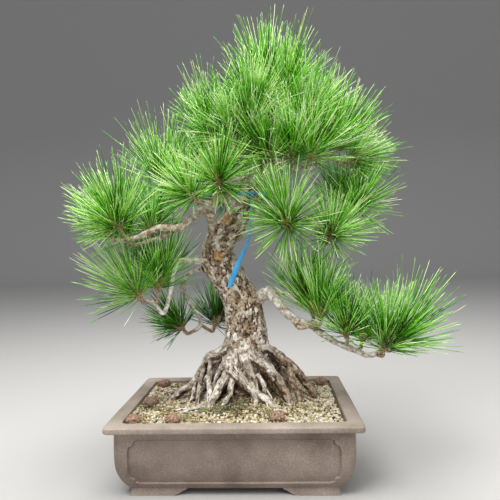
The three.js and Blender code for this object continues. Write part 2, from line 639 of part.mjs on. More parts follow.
function takeLimb(points) {
  for (let i = 0; i + 1 < points.length; i++) {
    const [a, b] = [points[i], points[i + 1]];
    taken.push({ a: vec(a), b: vec(b), ra: a[3] + 1, rb: b[3] + 1, owner: "wood" });
  }
}

// The least room between two tapered rods
function room(p, q) {
  const [d1, d2, r] = [p.b.clone().sub(p.a), q.b.clone().sub(q.a), p.a.clone().sub(q.a)];
  const [a, e, f, c, b] = [d1.dot(d1), d2.dot(d2), d2.dot(r), d1.dot(r), d1.dot(d2)];
  const clamp = (value) => THREE.MathUtils.clamp(value, 0, 1);
  const denominator = a * e - b * b;
  let s = denominator > 1e-9 ? clamp((b * f - c * e) / denominator) : 0;
  const t = clamp((b * s + f) / e);
  s = clamp((b * t - c) / a);
  const away = p.a.clone().addScaledVector(d1, s).distanceTo(q.a.clone().addScaledVector(d2, t));
  return away - THREE.MathUtils.lerp(p.ra, p.rb, s) - THREE.MathUtils.lerp(q.ra, q.rb, t);
}

// Needles of one shoot start side by side, so these are compared as thin lines from a little way out
function isFree(rod) {
  const { start, r } = NEEDLE.line;
  const line = ({ a, b }) => ({ a: a.clone().lerp(b, start), b, ra: r, rb: 0 });
  return taken.every((other) => {
    if (other.owner !== rod.owner) return room(rod, other) > NEEDLE.clear;
    return other.rb > 1 || room(line(rod), line(other)) > NEEDLE.line.room;
  });
}

// The shoot's corners stand in rings, each ring turned half a step from the one below it
function shootRings({ at, aim }) {
  const way = vec(aim).normalize();
  const side = new THREE.Vector3(0.6, 0.2, 0.1).cross(way).normalize();
  const across = way.clone().cross(side);
  const start = vec(at).addScaledVector(way, GAP);
  const { sides, bare, bands, pitch, r, neck } = SHOOT;
  const heights = [0, ...Array.from({ length: bands + 1 }, (_, k) => bare + k * pitch)];
  const ringAt = (height, k) => Array.from({ length: sides }, (_, i) => {
    const turn = ((i + 0.5 * (k % 2)) / sides) * 2 * Math.PI;
    const radius = k === 0 ? r : THREE.MathUtils.lerp(r, neck, (height - bare) / (bands * pitch));
    return start.clone().addScaledVector(way, height)
      .addScaledVector(side, radius * Math.cos(turn))
      .addScaledVector(across, radius * Math.sin(turn));
  });
  const top = start.clone().addScaledVector(way, bare + bands * pitch + SHOOT.bud);
  return { way, start, top, rings: heights.map(ringAt) };
}

// A needle leaves the middle of its face. The lower ones lean far out, the upper ones stand up round the bud.
function needleFrom(face, share, shoot, spray, name, random) {
  const centre = face[0].clone().add(face[1]).add(face[2]).divideScalar(3);
  const outward = centre.clone().sub(shoot.start);
  outward.addScaledVector(shoot.way, -outward.dot(shoot.way)).normalize();
  const sideways = shoot.way.clone().cross(outward);
  const { lerp, degToRad } = THREE.MathUtils;
  for (let attempt = 0; attempt < NEEDLE.tries; attempt++) {
    const jitter = NEEDLE.jitter * (1 + attempt / 20);
    const lean = degToRad(lerp(spray.spread, NEEDLE.lean, share)) + (random() - 0.5) * jitter;
    const swing = (random() - 0.5) * jitter * 2;
    const direction = shoot.way.clone().multiplyScalar(Math.cos(lean))
      .addScaledVector(outward, Math.sin(lean) * Math.cos(swing))
      .addScaledVector(sideways, Math.sin(lean) * Math.sin(swing));
    const reach = lerp(NEEDLE.lowest, NEEDLE.highest, share) + (random() * 2 - 1) * NEEDLE.vary;
    const tip = centre.clone().addScaledVector(direction, spray.length * reach);
    const rod = { a: centre, b: tip, ra: NEEDLE.r, rb: NEEDLE.point, owner: name };
    if (tip.z > LOWEST_NEEDLE && isFree(rod)) {
      taken.push(rod);
      return tip;
    }
  }
  return null;
}

function sprayGeometry(name, spray, random) {
  const shoot = shootRings(spray);
  const { rings } = shoot;
  const sides = SHOOT.sides;
  const triangles = [];
  for (let i = 1; i + 1 < sides; i++) triangles.push([rings[0][0], rings[0][i + 1], rings[0][i]]);
  for (let k = 0; k + 1 < rings.length; k++) {
    const turned = k % 2;
    const [low, high] = [rings[k], rings[k + 1]];
    for (let i = 0; i < sides; i++) {
      const next = (i + 1) % sides;
      const face = [low[i], low[next], high[(i + turned) % sides]];
      const tip = k > 0 && needleFrom(face, (k - 1) / (SHOOT.bands - 1), shoot, spray, name, random);
      if (tip) face.forEach((corner, c) => triangles.push([corner, face[(c + 1) % 3], tip]));
      else triangles.push(face);
      triangles.push([low[next], high[(next + turned) % sides], high[(i + turned) % sides]]);
    }
  }
  const last = rings.at(-1);
  last.forEach((corner, i) => triangles.push([corner, last[(i + 1) % sides], shoot.top]));
  const geometry = new THREE.BufferGeometry();
  const positions = triangles.flat().flatMap((point) => point.toArray());
  geometry.setAttribute("position", new THREE.Float32BufferAttribute(positions, 3));
  return mergeVertices(geometry, 1e-4);
}

[TRUNK_LOW, TRUNK_HIGH, ...limbs].forEach(takeLimb);
takeLimb(TAG_TAIL.map((point) => [...point, TAG.blade / 2]));
takeLimb(Array.from({ length: 13 }, (_, i) => {
  const turn = (i / 12) * 2 * Math.PI;
  const [x, y, z] = TAG_LOOP;
  return [x + TAG.loop * Math.cos(turn), y + TAG.loop * Math.sin(turn), z, TAG.strap / 2];
}));
for (const [name, spray] of Object.entries(SPRAYS)) {
  const { start, top } = shootRings(spray);
  taken.push({ a: start, b: top, ra: SHOOT.r, rb: SHOOT.r, owner: name });
}
const needleRandom = seeded(305);
for (const [name, spray] of Object.entries(SPRAYS)) {
  addPiece(`spray_${name}`, sprayGeometry(name, spray, needleRandom), COLOURS.needle, 0.55);
}

// The origin: under the middle of everything, on the ground that the feet stand on

group.updateMatrixWorld(true);
const bounds = new THREE.Box3().setFromObject(group, true);
group.position.set(-(bounds.min.x + bounds.max.x) / 2, -(bounds.min.y + bounds.max.y) / 2, 0);

export default group;
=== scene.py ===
import bpy
import numpy as np
from mathutils import Matrix, Vector


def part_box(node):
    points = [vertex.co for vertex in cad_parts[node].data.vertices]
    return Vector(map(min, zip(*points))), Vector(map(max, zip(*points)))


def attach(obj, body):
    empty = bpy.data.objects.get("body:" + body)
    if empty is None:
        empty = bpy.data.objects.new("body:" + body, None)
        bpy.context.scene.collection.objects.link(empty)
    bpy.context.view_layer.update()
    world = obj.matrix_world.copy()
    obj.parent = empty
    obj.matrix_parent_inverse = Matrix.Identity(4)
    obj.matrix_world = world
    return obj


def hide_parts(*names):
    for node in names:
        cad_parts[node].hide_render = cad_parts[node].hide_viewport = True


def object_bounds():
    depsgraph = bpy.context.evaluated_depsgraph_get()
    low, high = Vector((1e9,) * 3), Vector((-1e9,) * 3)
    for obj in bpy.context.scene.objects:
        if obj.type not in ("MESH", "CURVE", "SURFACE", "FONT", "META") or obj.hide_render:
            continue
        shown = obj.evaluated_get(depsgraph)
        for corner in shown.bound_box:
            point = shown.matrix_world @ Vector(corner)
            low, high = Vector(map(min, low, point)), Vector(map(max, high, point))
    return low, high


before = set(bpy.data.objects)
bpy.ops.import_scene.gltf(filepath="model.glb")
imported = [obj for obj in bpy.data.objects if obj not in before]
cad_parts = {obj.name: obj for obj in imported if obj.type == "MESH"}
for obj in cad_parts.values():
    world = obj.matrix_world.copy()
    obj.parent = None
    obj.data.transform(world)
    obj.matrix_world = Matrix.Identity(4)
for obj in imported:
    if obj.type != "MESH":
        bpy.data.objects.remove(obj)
CAD_BOX = [np.array(corner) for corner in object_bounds()]

# The place of the tree. Everything is set out in millimetres from the middle of the pot, on the ground that
# its feet stand on, as a grower would measure it. The pot's own node says where that middle is in the
# part's frame.

MM = 0.001
POT_BOX = [np.array(corner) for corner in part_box("pot")]
POT_MIDDLE = (POT_BOX[0] + POT_BOX[1]) / 2 * [1, 1, 0]


def placed(points):
    """Millimetres from the pot's middle, turned to metres in the part's own frame."""
    return np.asarray(points, float) * MM + POT_MIDDLE


# The camera. It stands three quarters of a metre in front of the pot at the height of the trunk's middle,
# almost level and leaning a little, with the lens of a phone. Its angles are in degrees, its lens in
# millimetres.

CAMERA = {
    "at": [52.5, -748.0, 326.4], "yaw": -2.27, "pitch": -0.26, "roll": -1.25, "lens": 35.28, "film": 36.0,
}


def aimed_camera(at, yaw, pitch, roll, lens, film):
    """The line of sight comes from yaw and pitch, and the picture's right and up are turned about it by
    roll."""
    yaw, pitch, roll = np.radians([yaw, pitch, roll])
    ahead = np.array([np.sin(yaw) * np.cos(pitch), np.cos(yaw) * np.cos(pitch), np.sin(pitch)])
    level = np.array([np.cos(yaw), -np.sin(yaw), 0.0])
    upright = np.cross(level, ahead)
    right = level * np.cos(roll) + upright * np.sin(roll)
    up = upright * np.cos(roll) - level * np.sin(roll)
    data = bpy.data.cameras.new("camera")
    data.lens, data.sensor_width = lens, film
    camera = bpy.data.objects.new("camera", data)
    bpy.context.scene.collection.objects.link(camera)
    turned = Matrix(np.column_stack([right, up, -ahead]).tolist()).to_4x4()
    turned.translation = placed(at).tolist()
    camera.matrix_world = turned
    return camera


bpy.context.scene.camera = aimed_camera(**CAMERA)

# The studio. A pale sheet that lies under the tree and runs up far behind it in a wide bend, an even soft
# sky, a large soft lamp overhead that does most of the work, one high on the left and a weaker one on the
# right.

FLOOR = {"colour": "#a19f9c", "half_wide": 9000, "front": -9000, "bend_at": 4000, "bend_r": 2000, "top": 9000}
SKY_COLOUR, SKY_STRENGTH = "#e9edf2", 0.62
LAMPS_AIM = [0, 0, 330]
LAMPS = {
    "key": {"at": [-600, -900, 1800], "size": 1.0, "power": 36},
    "fill": {"at": [1300, -900, 1000], "size": 1.5, "power": 9},
    "top": {"at": [100, -100, 1900], "size": 1.4, "power": 54},
}


def paint(code):
    """An sRGB hex colour turned to linear red, green, blue and alpha."""
    share = np.array([int(code[i:i + 2], 16) / 255 for i in (1, 3, 5)])
    linear = np.where(share <= 0.04045, share / 12.92, ((share + 0.055) / 1.055) ** 2.4)
    return (*linear.tolist(), 1.0)


def add_node(material, kind, links=None, stops=None, **settings):
    """Adds a node with its settings. Its links give each input, by name or identifier, a value, an output
    or a node whose main output goes there, and stops are the colours of a ramp."""
    node = material.node_tree.nodes.new("ShaderNode" + kind)
    for name, value in settings.items():
        setattr(node, name, value)
    for name, value in (links or {}).items():
        socket = next((s for s in node.inputs if s.identifier == name), None) or node.inputs[name]
        if isinstance(value, bpy.types.Node):
            main = [s for s in value.outputs if s.identifier in ("Result_Color", "Fac", "Object")]
            value = (main or list(value.outputs))[0]
        if isinstance(value, bpy.types.NodeSocket):
            material.node_tree.links.new(value, socket)
        else:
            socket.default_value = value
    for k, (position, code) in enumerate(stops or []):
        ramp = node.color_ramp.elements
        stop = ramp[k] if k < 2 else ramp.new(position)
        stop.position, stop.color = position, paint(code)
    return node


def new_material(name):
    """An empty material and its Object coordinates; what it is made of is linked in afterwards."""
    material = bpy.data.materials.new(name)
    material.use_nodes = True
    material.node_tree.nodes.clear()
    return material, add_node(material, "TexCoord")


def new_piece(name, points, faces, materials, kinds=None, smooth=True, **attributes):
    """A mesh of triangles, in millimetres. kinds gives each face its material, and attributes are numbers
    that the materials read, one for each point."""
    mesh = bpy.data.meshes.new(name)
    mesh.vertices.add(len(points))
    mesh.vertices.foreach_set("co", placed(points).astype(np.float32).ravel())
    mesh.loops.add(faces.size)
    mesh.loops.foreach_set("vertex_index", faces.astype(np.int32).ravel())
    mesh.polygons.add(len(faces))
    mesh.polygons.foreach_set("loop_start", np.arange(len(faces), dtype=np.int32) * 3)
    if kinds is not None:
        mesh.polygons.foreach_set("material_index", np.asarray(kinds, np.int32))
    mesh.polygons.foreach_set("use_smooth", np.full(len(faces), smooth))
    for attribute, values in attributes.items():
        layer = mesh.attributes.new(attribute, "FLOAT", "POINT")
        layer.data.foreach_set("value", np.asarray(values, np.float32).ravel())
    mesh.update(calc_edges=True)
    for material in materials:
        mesh.materials.append(material)
    piece = bpy.data.objects.new(name, mesh)
    bpy.context.scene.collection.objects.link(piece)
    return piece


def floor_sheet():
    """A flat stretch, a quarter of a circle and an upright stretch, carried along X."""
    turn, bend_at, bend_r = np.linspace(0, np.pi / 2, 25), FLOOR["bend_at"], FLOOR["bend_r"]
    y = [FLOOR["front"], *(bend_at + bend_r * np.sin(turn)), bend_at + bend_r]
    z = [0, *(bend_r * (1 - np.cos(turn))), FLOOR["top"]]
    left = np.column_stack([np.full(len(y), -FLOOR["half_wide"]), y, z])
    points = np.stack([left, left * [-1, 1, 1]], axis=1).reshape(-1, 3)
    start = np.arange(len(y) - 1)[:, None] * 2
    return points, np.concatenate([start + [0, 1, 3], start + [0, 3, 2]])


# Paper takes the light evenly and gives none of it back as a gleam.
floor_paper, _ = new_material("matt_studio_paper")
add_node(floor_paper, "OutputMaterial", {"Surface": add_node(floor_paper, "BsdfPrincipled", {
    "Base Color": paint(FLOOR["colour"]), "Roughness": 0.9,
})})
new_piece("studio_floor", *floor_sheet(), [floor_paper])

sky = bpy.data.worlds.new("studio_sky")
sky.use_nodes = True
sky.node_tree.nodes["Background"].inputs["Color"].default_value = paint(SKY_COLOUR)
sky.node_tree.nodes["Background"].inputs["Strength"].default_value = SKY_STRENGTH
bpy.context.scene.world = sky
bpy.context.scene.view_settings.view_transform = "Standard"

for lamp_name, lamp in LAMPS.items():
    light = bpy.data.lights.new(lamp_name, "AREA")
    light.shape, light.size, light.energy = "DISK", lamp["size"], lamp["power"]
    holder = bpy.data.objects.new(lamp_name, light)
    bpy.context.scene.collection.objects.link(holder)
    aim = Vector(placed(LAMPS_AIM) - placed(lamp["at"])).to_track_quat("-Z", "Y")
    holder.matrix_world = Matrix.Translation(placed(lamp["at"]).tolist()) @ aim.to_matrix().to_4x4()

# Pot. Unglazed stoneware, pressed in a mould and fired brown: a body that curves in to its underside, a
# flat lip that stands out all round, and on each side a sunk panel with scooped corners. Left matt, with a
# fine grain.

POT = {
    "lip": [170.0, 125.5], "body": [160.0, 114.0], "mouth": [150.0, 104.5], "corner": [7.4, 11.0, 9.0],
    "height": 96.4, "lip_under": 88.6, "foot": 7.0, "floor": 16.0, "edge": 1.5, "mouth_edge": 1.2,
    "turn_start": 64.0, "turn_in": [18.0, 13.5], "turn_power": 3.4, "bottom_edge": [1.6, 2.4],
    "underside": [[60, 40], [128, 86]], "unevenness": [55, 0.45],
}
PANEL = {
    "top": 77.4, "bottom": 17.5, "margin": [20.5, 19.0], "lobe": [10.6, 3.2, 9.6], "depth": 2.6, "edge": 0.8,
    "bead": [0.7, -0.9, 0.8], "dust": [0.5, 0.8],
}
INSIDE = [[88, 0.1, 0.1], [72, 0.5, 0.5], [52, 1, 1], [32, 5, 4], [21, 12, 10], [16, 20, 17]]
DRAIN = {"x": 75.0, "r": 13.0, "sides": 40}
FOOT = {"at": [140.0, 105.0], "arm": [58.0, 38.0], "sweep": 18.0, "wide": 15.0, "lean": 4.0, "into": 14.0}
EDGE_TURN, FEET_EDGE = np.radians(42), 0.9


def grid_faces(rows, columns):
    """Two triangles for each cell of a grid of points that closes on itself round its columns."""
    row, column = np.meshgrid(np.arange(rows - 1), np.arange(columns), indexing="ij")
    a = (row * columns + column).ravel()
    b = (row * columns + (column + 1) % columns).ravel()
    return np.concatenate([np.stack([a, b, b + columns], 1), np.stack([a, b + columns, a + columns], 1)])


def closed_rings(rings):
    """Rings of points skinned from the first to the last, with a pole in the middle of each end."""
    rows, columns, _ = rings.shape
    points = np.concatenate([rings.reshape(-1, 3), [rings[0].mean(0)], [rings[-1].mean(0)]])
    here, after = np.arange(columns), (np.arange(columns) + 1) % columns
    last, pole = (rows - 1) * columns, rows * columns
    start = np.stack([after, here, np.full(columns, pole)], 1)
    end = np.stack([last + here, last + after, np.full(columns, pole + 1)], 1)
    return points, np.concatenate([grid_faces(rows, columns), start, end])


def joined(bodies):
    """Several bodies, each points and faces, as one."""
    starts = np.cumsum([0] + [len(points) for points, _ in bodies[:-1]])
    faces = [body[1] + start for body, start in zip(bodies, starts)]
    return np.concatenate([points for points, _ in bodies]), np.concatenate(faces)


def rounded_ring(half_x, half_y, corner, shares, steps=6):
    """A rectangle with round corners, anticlockwise from its front left: each side has a point at each
    share of its straight half, and an arc of the given steps follows it."""
    turn = np.linspace(0, np.pi / 2, steps + 2)[1:-1, None]
    parts = []
    for k in range(4):
        along, out = (half_x, half_y) if k % 2 == 0 else (half_y, half_x)
        forward = np.array([[1, 0], [0, 1], [-1, 0], [0, -1]])[k]
        outward = np.array([[0, -1], [1, 0], [0, 1], [-1, 0]])[k]
        parts.append(shares[:, None] * (along - corner) * forward + out * outward)
        middle = (along - corner) * forward + (out - corner) * outward
        parts.append(middle + corner * (np.cos(turn) * outward + np.sin(turn) * forward))
    return np.concatenate(parts)


def ease(low, high, value):
    """0 below low, 1 above high, and an easy S between them."""
    share = np.clip((value - low) / (high - low), 0, 1)
    return share * share * (3 - 2 * share)


def hump(value, middle, width):
    """1 where the value is at the middle, and falling away on both sides of it as a bell of the given
    width."""
    return np.exp(-((value - middle) / width) ** 2)


def unit(vectors):
    """Vectors of length one."""
    return vectors / np.linalg.norm(vectors, axis=-1, keepdims=True)


def cells_of(size):
    """The scale of a pattern whose cells are so many millimetres wide: how many of them make a metre."""
    return 1 / (size * MM)


def value_noise(points, size, seed):
    """Smooth noise from -1 to 1: random numbers on a lattice of the given size, blended between its
    corners."""
    table = np.random.default_rng(seed).uniform(-1, 1, (32, 32, 32))
    scaled = np.asarray(points, float) / size
    cell = np.floor(scaled).astype(int)
    share = ease(0, 1, scaled - cell)
    total = np.zeros(scaled.shape[:-1])
    for corner in np.ndindex(2, 2, 2):
        weight = np.prod(np.where(np.array(corner) == 1, share, 1 - share), axis=-1)
        at = (cell + corner) % 32
        total += weight * table[at[..., 0], at[..., 1], at[..., 2]]
    return total


def panel_sink(across, up, half):
    """How deep the panel lies at a place on its side, and how much dust and painted shade darken it there.
    The panel is a rectangle with each corner cut off by two small lobes that meet in a point. It has a short
    soft step at its edge and a thin bead just outside it. Dust holds in the foot of the step; it fades out
    towards the bottom and is strongest under the upper edge, where it is painted shade."""
    middle, tall = (PANEL["top"] + PANEL["bottom"]) / 2, (PANEL["top"] - PANEL["bottom"]) / 2
    from_side, from_top = half - np.abs(across), tall - np.abs(up - middle)
    base, wave, period = PANEL["lobe"]
    cut = base + wave * np.abs(np.cos(np.pi * (from_side - from_top) / np.sqrt(2) / period))
    inside = np.minimum(np.minimum(from_side, from_top), (from_side + from_top - cut) / np.sqrt(2))
    bead, *bead_place = PANEL["bead"]
    # Dust in the foot of the step, strongest under the upper edge, where it is painted shade.
    dust = hump(inside, *PANEL["dust"]) * ease(PANEL["bottom"] + 8, PANEL["top"] - 1, up)
    return PANEL["depth"] * ease(0, PANEL["edge"], inside) - bead * hump(inside, *bead_place), dust


def pot_levels():
    """The pot's section, each level a height, half length, half width and corner: from the middle of the
    underside out and up, over the lip with its rounded edges, and down the inside to the middle of the
    floor."""
    lip, body, mouth, edge = POT["lip"], POT["body"], POT["mouth"], POT["edge"]
    lip_corner, body_corner, mouth_corner = POT["corner"]
    inwards, upwards = POT["bottom_edge"]
    levels = [[POT["foot"], *half, 10] for half in POT["underside"]]
    bottom = POT["foot"] + np.array([0.0, 0.4, 1.2, 2.4])
    for z in [*bottom, *np.arange(11, 31, 0.7), *np.arange(33, 64, 4.0), *np.arange(66, 81.5, 0.7), 84, 88.2]:
        turn = max(0, (POT["turn_start"] - z) / (POT["turn_start"] - POT["foot"])) ** POT["turn_power"]
        round_off = inwards * max(0, 1 - (z - POT["foot"]) / upwards) ** 2
        levels.append([z, *(body - np.array(POT["turn_in"]) * turn - round_off), body_corner])
    levels.append([POT["lip_under"], body[0] + 0.6, body[1] + 0.6, body_corner])
    low, high = POT["lip_under"] + edge, POT["height"] - edge
    for middle, turns in [(low, [-90, -60, -30, 0]), (high, [0, 22, 45, 67, 90])]:
        for turn in np.radians(turns):
            back = edge * (1 - np.cos(turn))
            levels.append([middle + edge * np.sin(turn), lip[0] - back, lip[1] - back, lip_corner - back])
    levels.append([POT["height"], (lip[0] + mouth[0]) / 2, (lip[1] + mouth[1]) / 2, 8])
    edge = POT["mouth_edge"]
    for turn in np.radians([90, 60, 30, 0]):
        out = edge * (1 - np.cos(turn))
        z = POT["height"] - edge + edge * np.sin(turn)
        levels.append([z, mouth[0] + out, mouth[1] + out, mouth_corner + out])
    levels += [[z, mouth[0] - x, mouth[1] - y, mouth_corner] for z, x, y in INSIDE]
    return levels + [[POT["floor"], *POT["underside"][0], mouth_corner]]


def pot_body():
    """The section's levels as rings, with the panels pressed in square to each side, and the slight
    unevenness of clay that was pressed by hand. Each point also gets its dust and painted shade."""
    end = np.linspace(0.79, 0.965, 40)
    shares = np.concatenate([[-1, -0.98], -end[::-1], np.linspace(-0.77, 0.77, 18), end, [0.98, 1]])
    levels = pot_levels()
    rings = np.array([np.column_stack([
        rounded_ring(x, y, corner, shares), np.full(4 * (len(shares) + 6), z),
    ]) for z, x, y, corner in levels])
    x, y, z = rings[..., 0].copy(), rings[..., 1].copy(), rings[..., 2]
    under_lip = [level[0] for level in levels].index(POT["lip_under"])
    outside = np.isin(np.arange(len(levels)), np.arange(2, under_lip))[:, None]
    front_or_back = np.repeat(np.arange(4), len(shares) + 6) % 2 == 0
    sink_x, dust_x = panel_sink(x, z, POT["body"][0] - PANEL["margin"][0])
    sink_y, dust_y = panel_sink(y, z, POT["body"][1] - PANEL["margin"][1])
    rings[..., 1] -= np.sign(y) * sink_x * (outside & front_or_back)
    rings[..., 0] -= np.sign(x) * sink_y * (outside & ~front_or_back)
    size, swing = POT["unevenness"]
    rings += unit(rings - [0, 0, 50]) * value_noise(rings, size, 5)[..., None] * swing
    return *closed_rings(rings), np.append(np.where(front_or_back, dust_x, dust_y) * outside, [0, 0])


def foot_body():
    """The foot at the front left, an L seen from below, as rings from the ground up. Under the end of each
    arm runs an S, so the arms grow longer with the height, and the outer faces lean back into the body."""
    share = np.append(np.linspace(0, 1, 14), 1)
    height = np.append(POT["foot"] * ease(0, 1, share[:-1]), FOOT["into"])
    back = FOOT["lean"] * height / FOOT["into"]
    long_x, long_y = np.array(FOOT["arm"])[:, None] + FOOT["sweep"] * share
    wide = np.full(len(height), FOOT["wide"])
    x = np.stack([back, long_x, long_x, wide, wide, back], axis=1)
    y = np.stack([back, back, wide, wide, long_y, long_y], axis=1)
    rings = np.stack([x, y, np.broadcast_to(height[:, None], x.shape)], axis=-1)
    fan = np.array([[0, 1, 2], [0, 2, 3], [0, 3, 4], [0, 4, 5]])
    caps = np.concatenate([fan[:, ::-1], fan + 6 * (len(height) - 1)])
    return rings.reshape(-1, 3) - [*FOOT["at"], 0], np.concatenate([grid_faces(len(height), 6), caps])


def pot_feet():
    """The four feet; three are the first one's mirror images."""
    points, faces = foot_body()
    return joined([
        (points * [side_x, side_y, 1], faces if side_x * side_y > 0 else faces[:, ::-1])
        for side_x in (1, -1) for side_y in (1, -1)
    ])


def drilled(piece, x, r, sides):
    """The piece with a round hole through its floor at x and at -x, cut once and kept as plain mesh."""
    turn = np.linspace(0, 2 * np.pi, sides, endpoint=False)
    ring = np.column_stack([r * np.cos(turn), r * np.sin(turn), np.zeros(sides)])
    plug = np.stack([ring + [0, 0, POT["foot"] - 4], ring + [0, 0, POT["floor"] + 4]])
    cutter = new_piece("drill", *joined([closed_rings(plug + [side * x, 0, 0]) for side in (-1, 1)]), [])
    cut = piece.modifiers.new("drain_holes", "BOOLEAN")
    cut.operation, cut.solver, cut.object = "DIFFERENCE", "EXACT", cutter
    bpy.context.view_layer.update()
    whole = piece.evaluated_get(bpy.context.evaluated_depsgraph_get())
    piece.data = bpy.data.meshes.new_from_object(whole)
    piece.modifiers.clear()
    bpy.data.objects.remove(cutter)


# Fired clay is dull and rough and scatters light evenly. Its iron gives it clouds of grey and brown, fine
# dark and pale specks, and a grain that can be felt. Specks and grain are under half a millimetre on real
# clay, and are drawn as coarse as they need to show. The lip is painted paler than the sides, a painted
# highlight of the light from above. Dark dust holds in the foot of the step round each panel, strongest
# under its upper edge, where it is painted shade.
stoneware, clay_at = new_material("unglazed_stoneware")
clay_cloud = add_node(stoneware, "TexNoise", {"Vector": clay_at, "Scale": cells_of(62.5), "Detail": 6.0})
clay_ramp = add_node(stoneware, "ValToRGB", {"Fac": clay_cloud}, [
    (0.32, "#7b6d63"), (0.68, "#a6988f"), (0.5, "#92857b"),
])
clay_speck = add_node(stoneware, "TexNoise", {"Vector": clay_at, "Scale": cells_of(1.61), "Detail": 4.0})
speck_ramp = add_node(stoneware, "ValToRGB", {"Fac": clay_speck}, [
    (0.3, "#3c3733"), (0.66, "#cbc4bb"), (0.42, "#7b7470"), (0.56, "#8d8680"),
])
clay_colour = add_node(stoneware, "Mix", {
    "Factor_Float": 0.55, "A_Color": clay_ramp, "B_Color": speck_ramp,
}, data_type="RGBA", blend_type="SOFT_LIGHT")
clay_height = add_node(stoneware, "SeparateXYZ", {"Vector": clay_at})
# Above this height the lip is painted paler than the sides: a painted highlight.
clay_lip_highlight = add_node(stoneware, "MapRange", {
    "Value": clay_height.outputs["Z"], 1: 0.0862, 2: 0.0885, 3: 0.0, 4: 0.07,
})
clay_face = add_node(stoneware, "Mix", {
    "Factor_Float": clay_lip_highlight, "A_Color": clay_colour, "B_Color": paint("#ccd0b6"),
}, data_type="RGBA")
# Dust and painted shade darken the edge of each panel, most under its upper edge.
clay_dust = add_node(stoneware, "Attribute", attribute_name="dust")
dust_share = add_node(stoneware, "Math", {0: clay_dust.outputs["Fac"], 1: 0.7}, operation="MULTIPLY")
clay_dusty = add_node(stoneware, "Mix", {
    "Factor_Float": dust_share, "A_Color": clay_face, "B_Color": paint("#3a322c"),
}, data_type="RGBA")
clay_grain = add_node(stoneware, "TexNoise", {"Vector": clay_at, "Scale": cells_of(1.11), "Detail": 5.0})
clay_bump = add_node(stoneware, "Bump", {"Strength": 0.35, "Distance": 0.0006, "Height": clay_grain})
add_node(stoneware, "OutputMaterial", {"Surface": add_node(stoneware, "BsdfPrincipled", {
    "Base Color": clay_dusty, "Roughness": 0.82, "Normal": clay_bump,
})})

pot_points, pot_faces, pot_dust = pot_body()
body = new_piece("pot_body", pot_points, pot_faces, [stoneware], dust=pot_dust)
drilled(body, **DRAIN)
feet = new_piece("pot_feet", *pot_feet(), [stoneware])
rounded = feet.modifiers.new("rounded_edges", "BEVEL")
rounded.width, rounded.segments, rounded.angle_limit = FEET_EDGE * MM, 2, EDGE_TURN
for piece in (body, feet):
    piece.data.set_sharp_from_angle(angle=EDGE_TURN)
    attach(piece, "root")
    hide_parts("pot")

# Screens. Squares of coarse black garden mesh, moulded in polyethylene, that keep the soil from running out
# of the drain holes. The part's own nodes stay.


def patterned_material(name, pattern, size, stops, relief, roughness, **settings):
    """A material whose colour and relief follow one pattern, with cells of a size in millimetres: its value
    takes the colours of the stops, and raises the surface with a strength and over a distance in metres.
    Scales are raised in their middles."""
    material, at = new_material(name)
    value = add_node(material, "Tex" + pattern, {"Vector": at, "Scale": cells_of(size), **settings})
    colour = add_node(material, "ValToRGB", {"Fac": value}, stops)
    bump = add_node(material, "Bump", {
        "Strength": relief[0], "Distance": relief[1], "Height": value,
    }, invert=pattern == "Voronoi")
    add_node(material, "OutputMaterial", {"Surface": add_node(material, "BsdfPrincipled", {
        "Base Color": colour, "Roughness": roughness, "Normal": bump,
    })})
    return material


# Polyethylene comes from its mould half matt. The black is greyed by the dust that every watering leaves on
# it.
mesh_plastic = patterned_material("moulded_polyethylene", "Noise", 3.33, [
    (0.45, "#1d2622"), (0.75, "#55564a"),
], (0.2, 0.0002), 0.55, Detail=5.0)
for screen_name in ("screen_left", "screen_right"):
    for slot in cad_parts[screen_name].material_slots:
        slot.material = mesh_plastic

# Soil. Pumice sieved to a few millimetres and poured in round the roots, slightly mounded towards the
# trunk. Under the loose grains on top lies a bed of the same stuff, settled, with the finer dust between.

SOIL = {
    "edge": 89.0, "piled": 3.4, "mound": 15.0, "spread": 62.0, "heap": 15.0, "close": 31.0,
    "trunk": [10.0, 13.0], "gap": 0.35,
}
GRAIN = {
    "pitch": 2.8, "r": 1.8, "vary": 0.38, "sunk": 0.25, "reach": [149, 103.5], "trunk": [10, 15, 30],
    "cake": 7.5,
}
# Where the grains are damp and darker. The last row lowers the dampness at the front right, so that the
# grains there are painted paler: a painted pool of light.
DAMP_AND_LIGHT = {
    "front": [[-12, -44], [30, 18], 0.55], "foot": [[10, 12], 48, 0.65], "painted_light": [[60, 125], [90, -20], 0.4],
}
CAKES = [[-137, -91, 10], [-133, -6, 75], [-134, 90, 140], [-84, -90, 205], [58, -88, 290], [136, 90, 330]]


def soil_height(x, y):
    """Level in the pot, a little up its walls and rising to a round mound about the trunk, steeper where it
    lies between roots."""
    away = np.hypot(x - SOIL["trunk"][0], y - SOIL["trunk"][1])
    mound = SOIL["mound"] * np.exp(-(away / SOIL["spread"]) ** 2 / 2)
    inside = np.minimum(POT["mouth"][0] - np.abs(x), POT["mouth"][1] - np.abs(y))
    piled = SOIL["piled"] * ease(18, 2, inside)
    return SOIL["edge"] + piled + mound + SOIL["heap"] * np.exp(-(away / SOIL["close"]) ** 2 / 2)


def soil_bed():
    """The inside of the pot filled from its floor, as rounded rectangles that rise along the wall and then
    shrink across the top, where they take the soil's height and a little unevenness."""
    shares, half, corner = np.linspace(-1, 1, 46), np.array(POT["mouth"]) - SOIL["gap"], POT["corner"][2]
    rings = []
    for z, *back in INSIDE[::-1]:
        flat = rounded_ring(*(half - back), corner, shares)
        rings.append(np.column_stack([flat, np.full(len(flat), z + 2 * (z < POT["floor"] + 1))]))
    for share in np.linspace(1, 0.02, 48) ** 0.8:
        flat = rounded_ring(*half, corner, shares) * share
        spot = np.column_stack([flat, 0 * flat[:, 0]])
        lump = value_noise(spot, 5.5, 8) + value_noise(spot, 2.6, 9) * 0.6
        rings.append(np.column_stack([flat, soil_height(*flat.T) - 1.2 + lump * 0.9]))
    return closed_rings(np.array(rings))


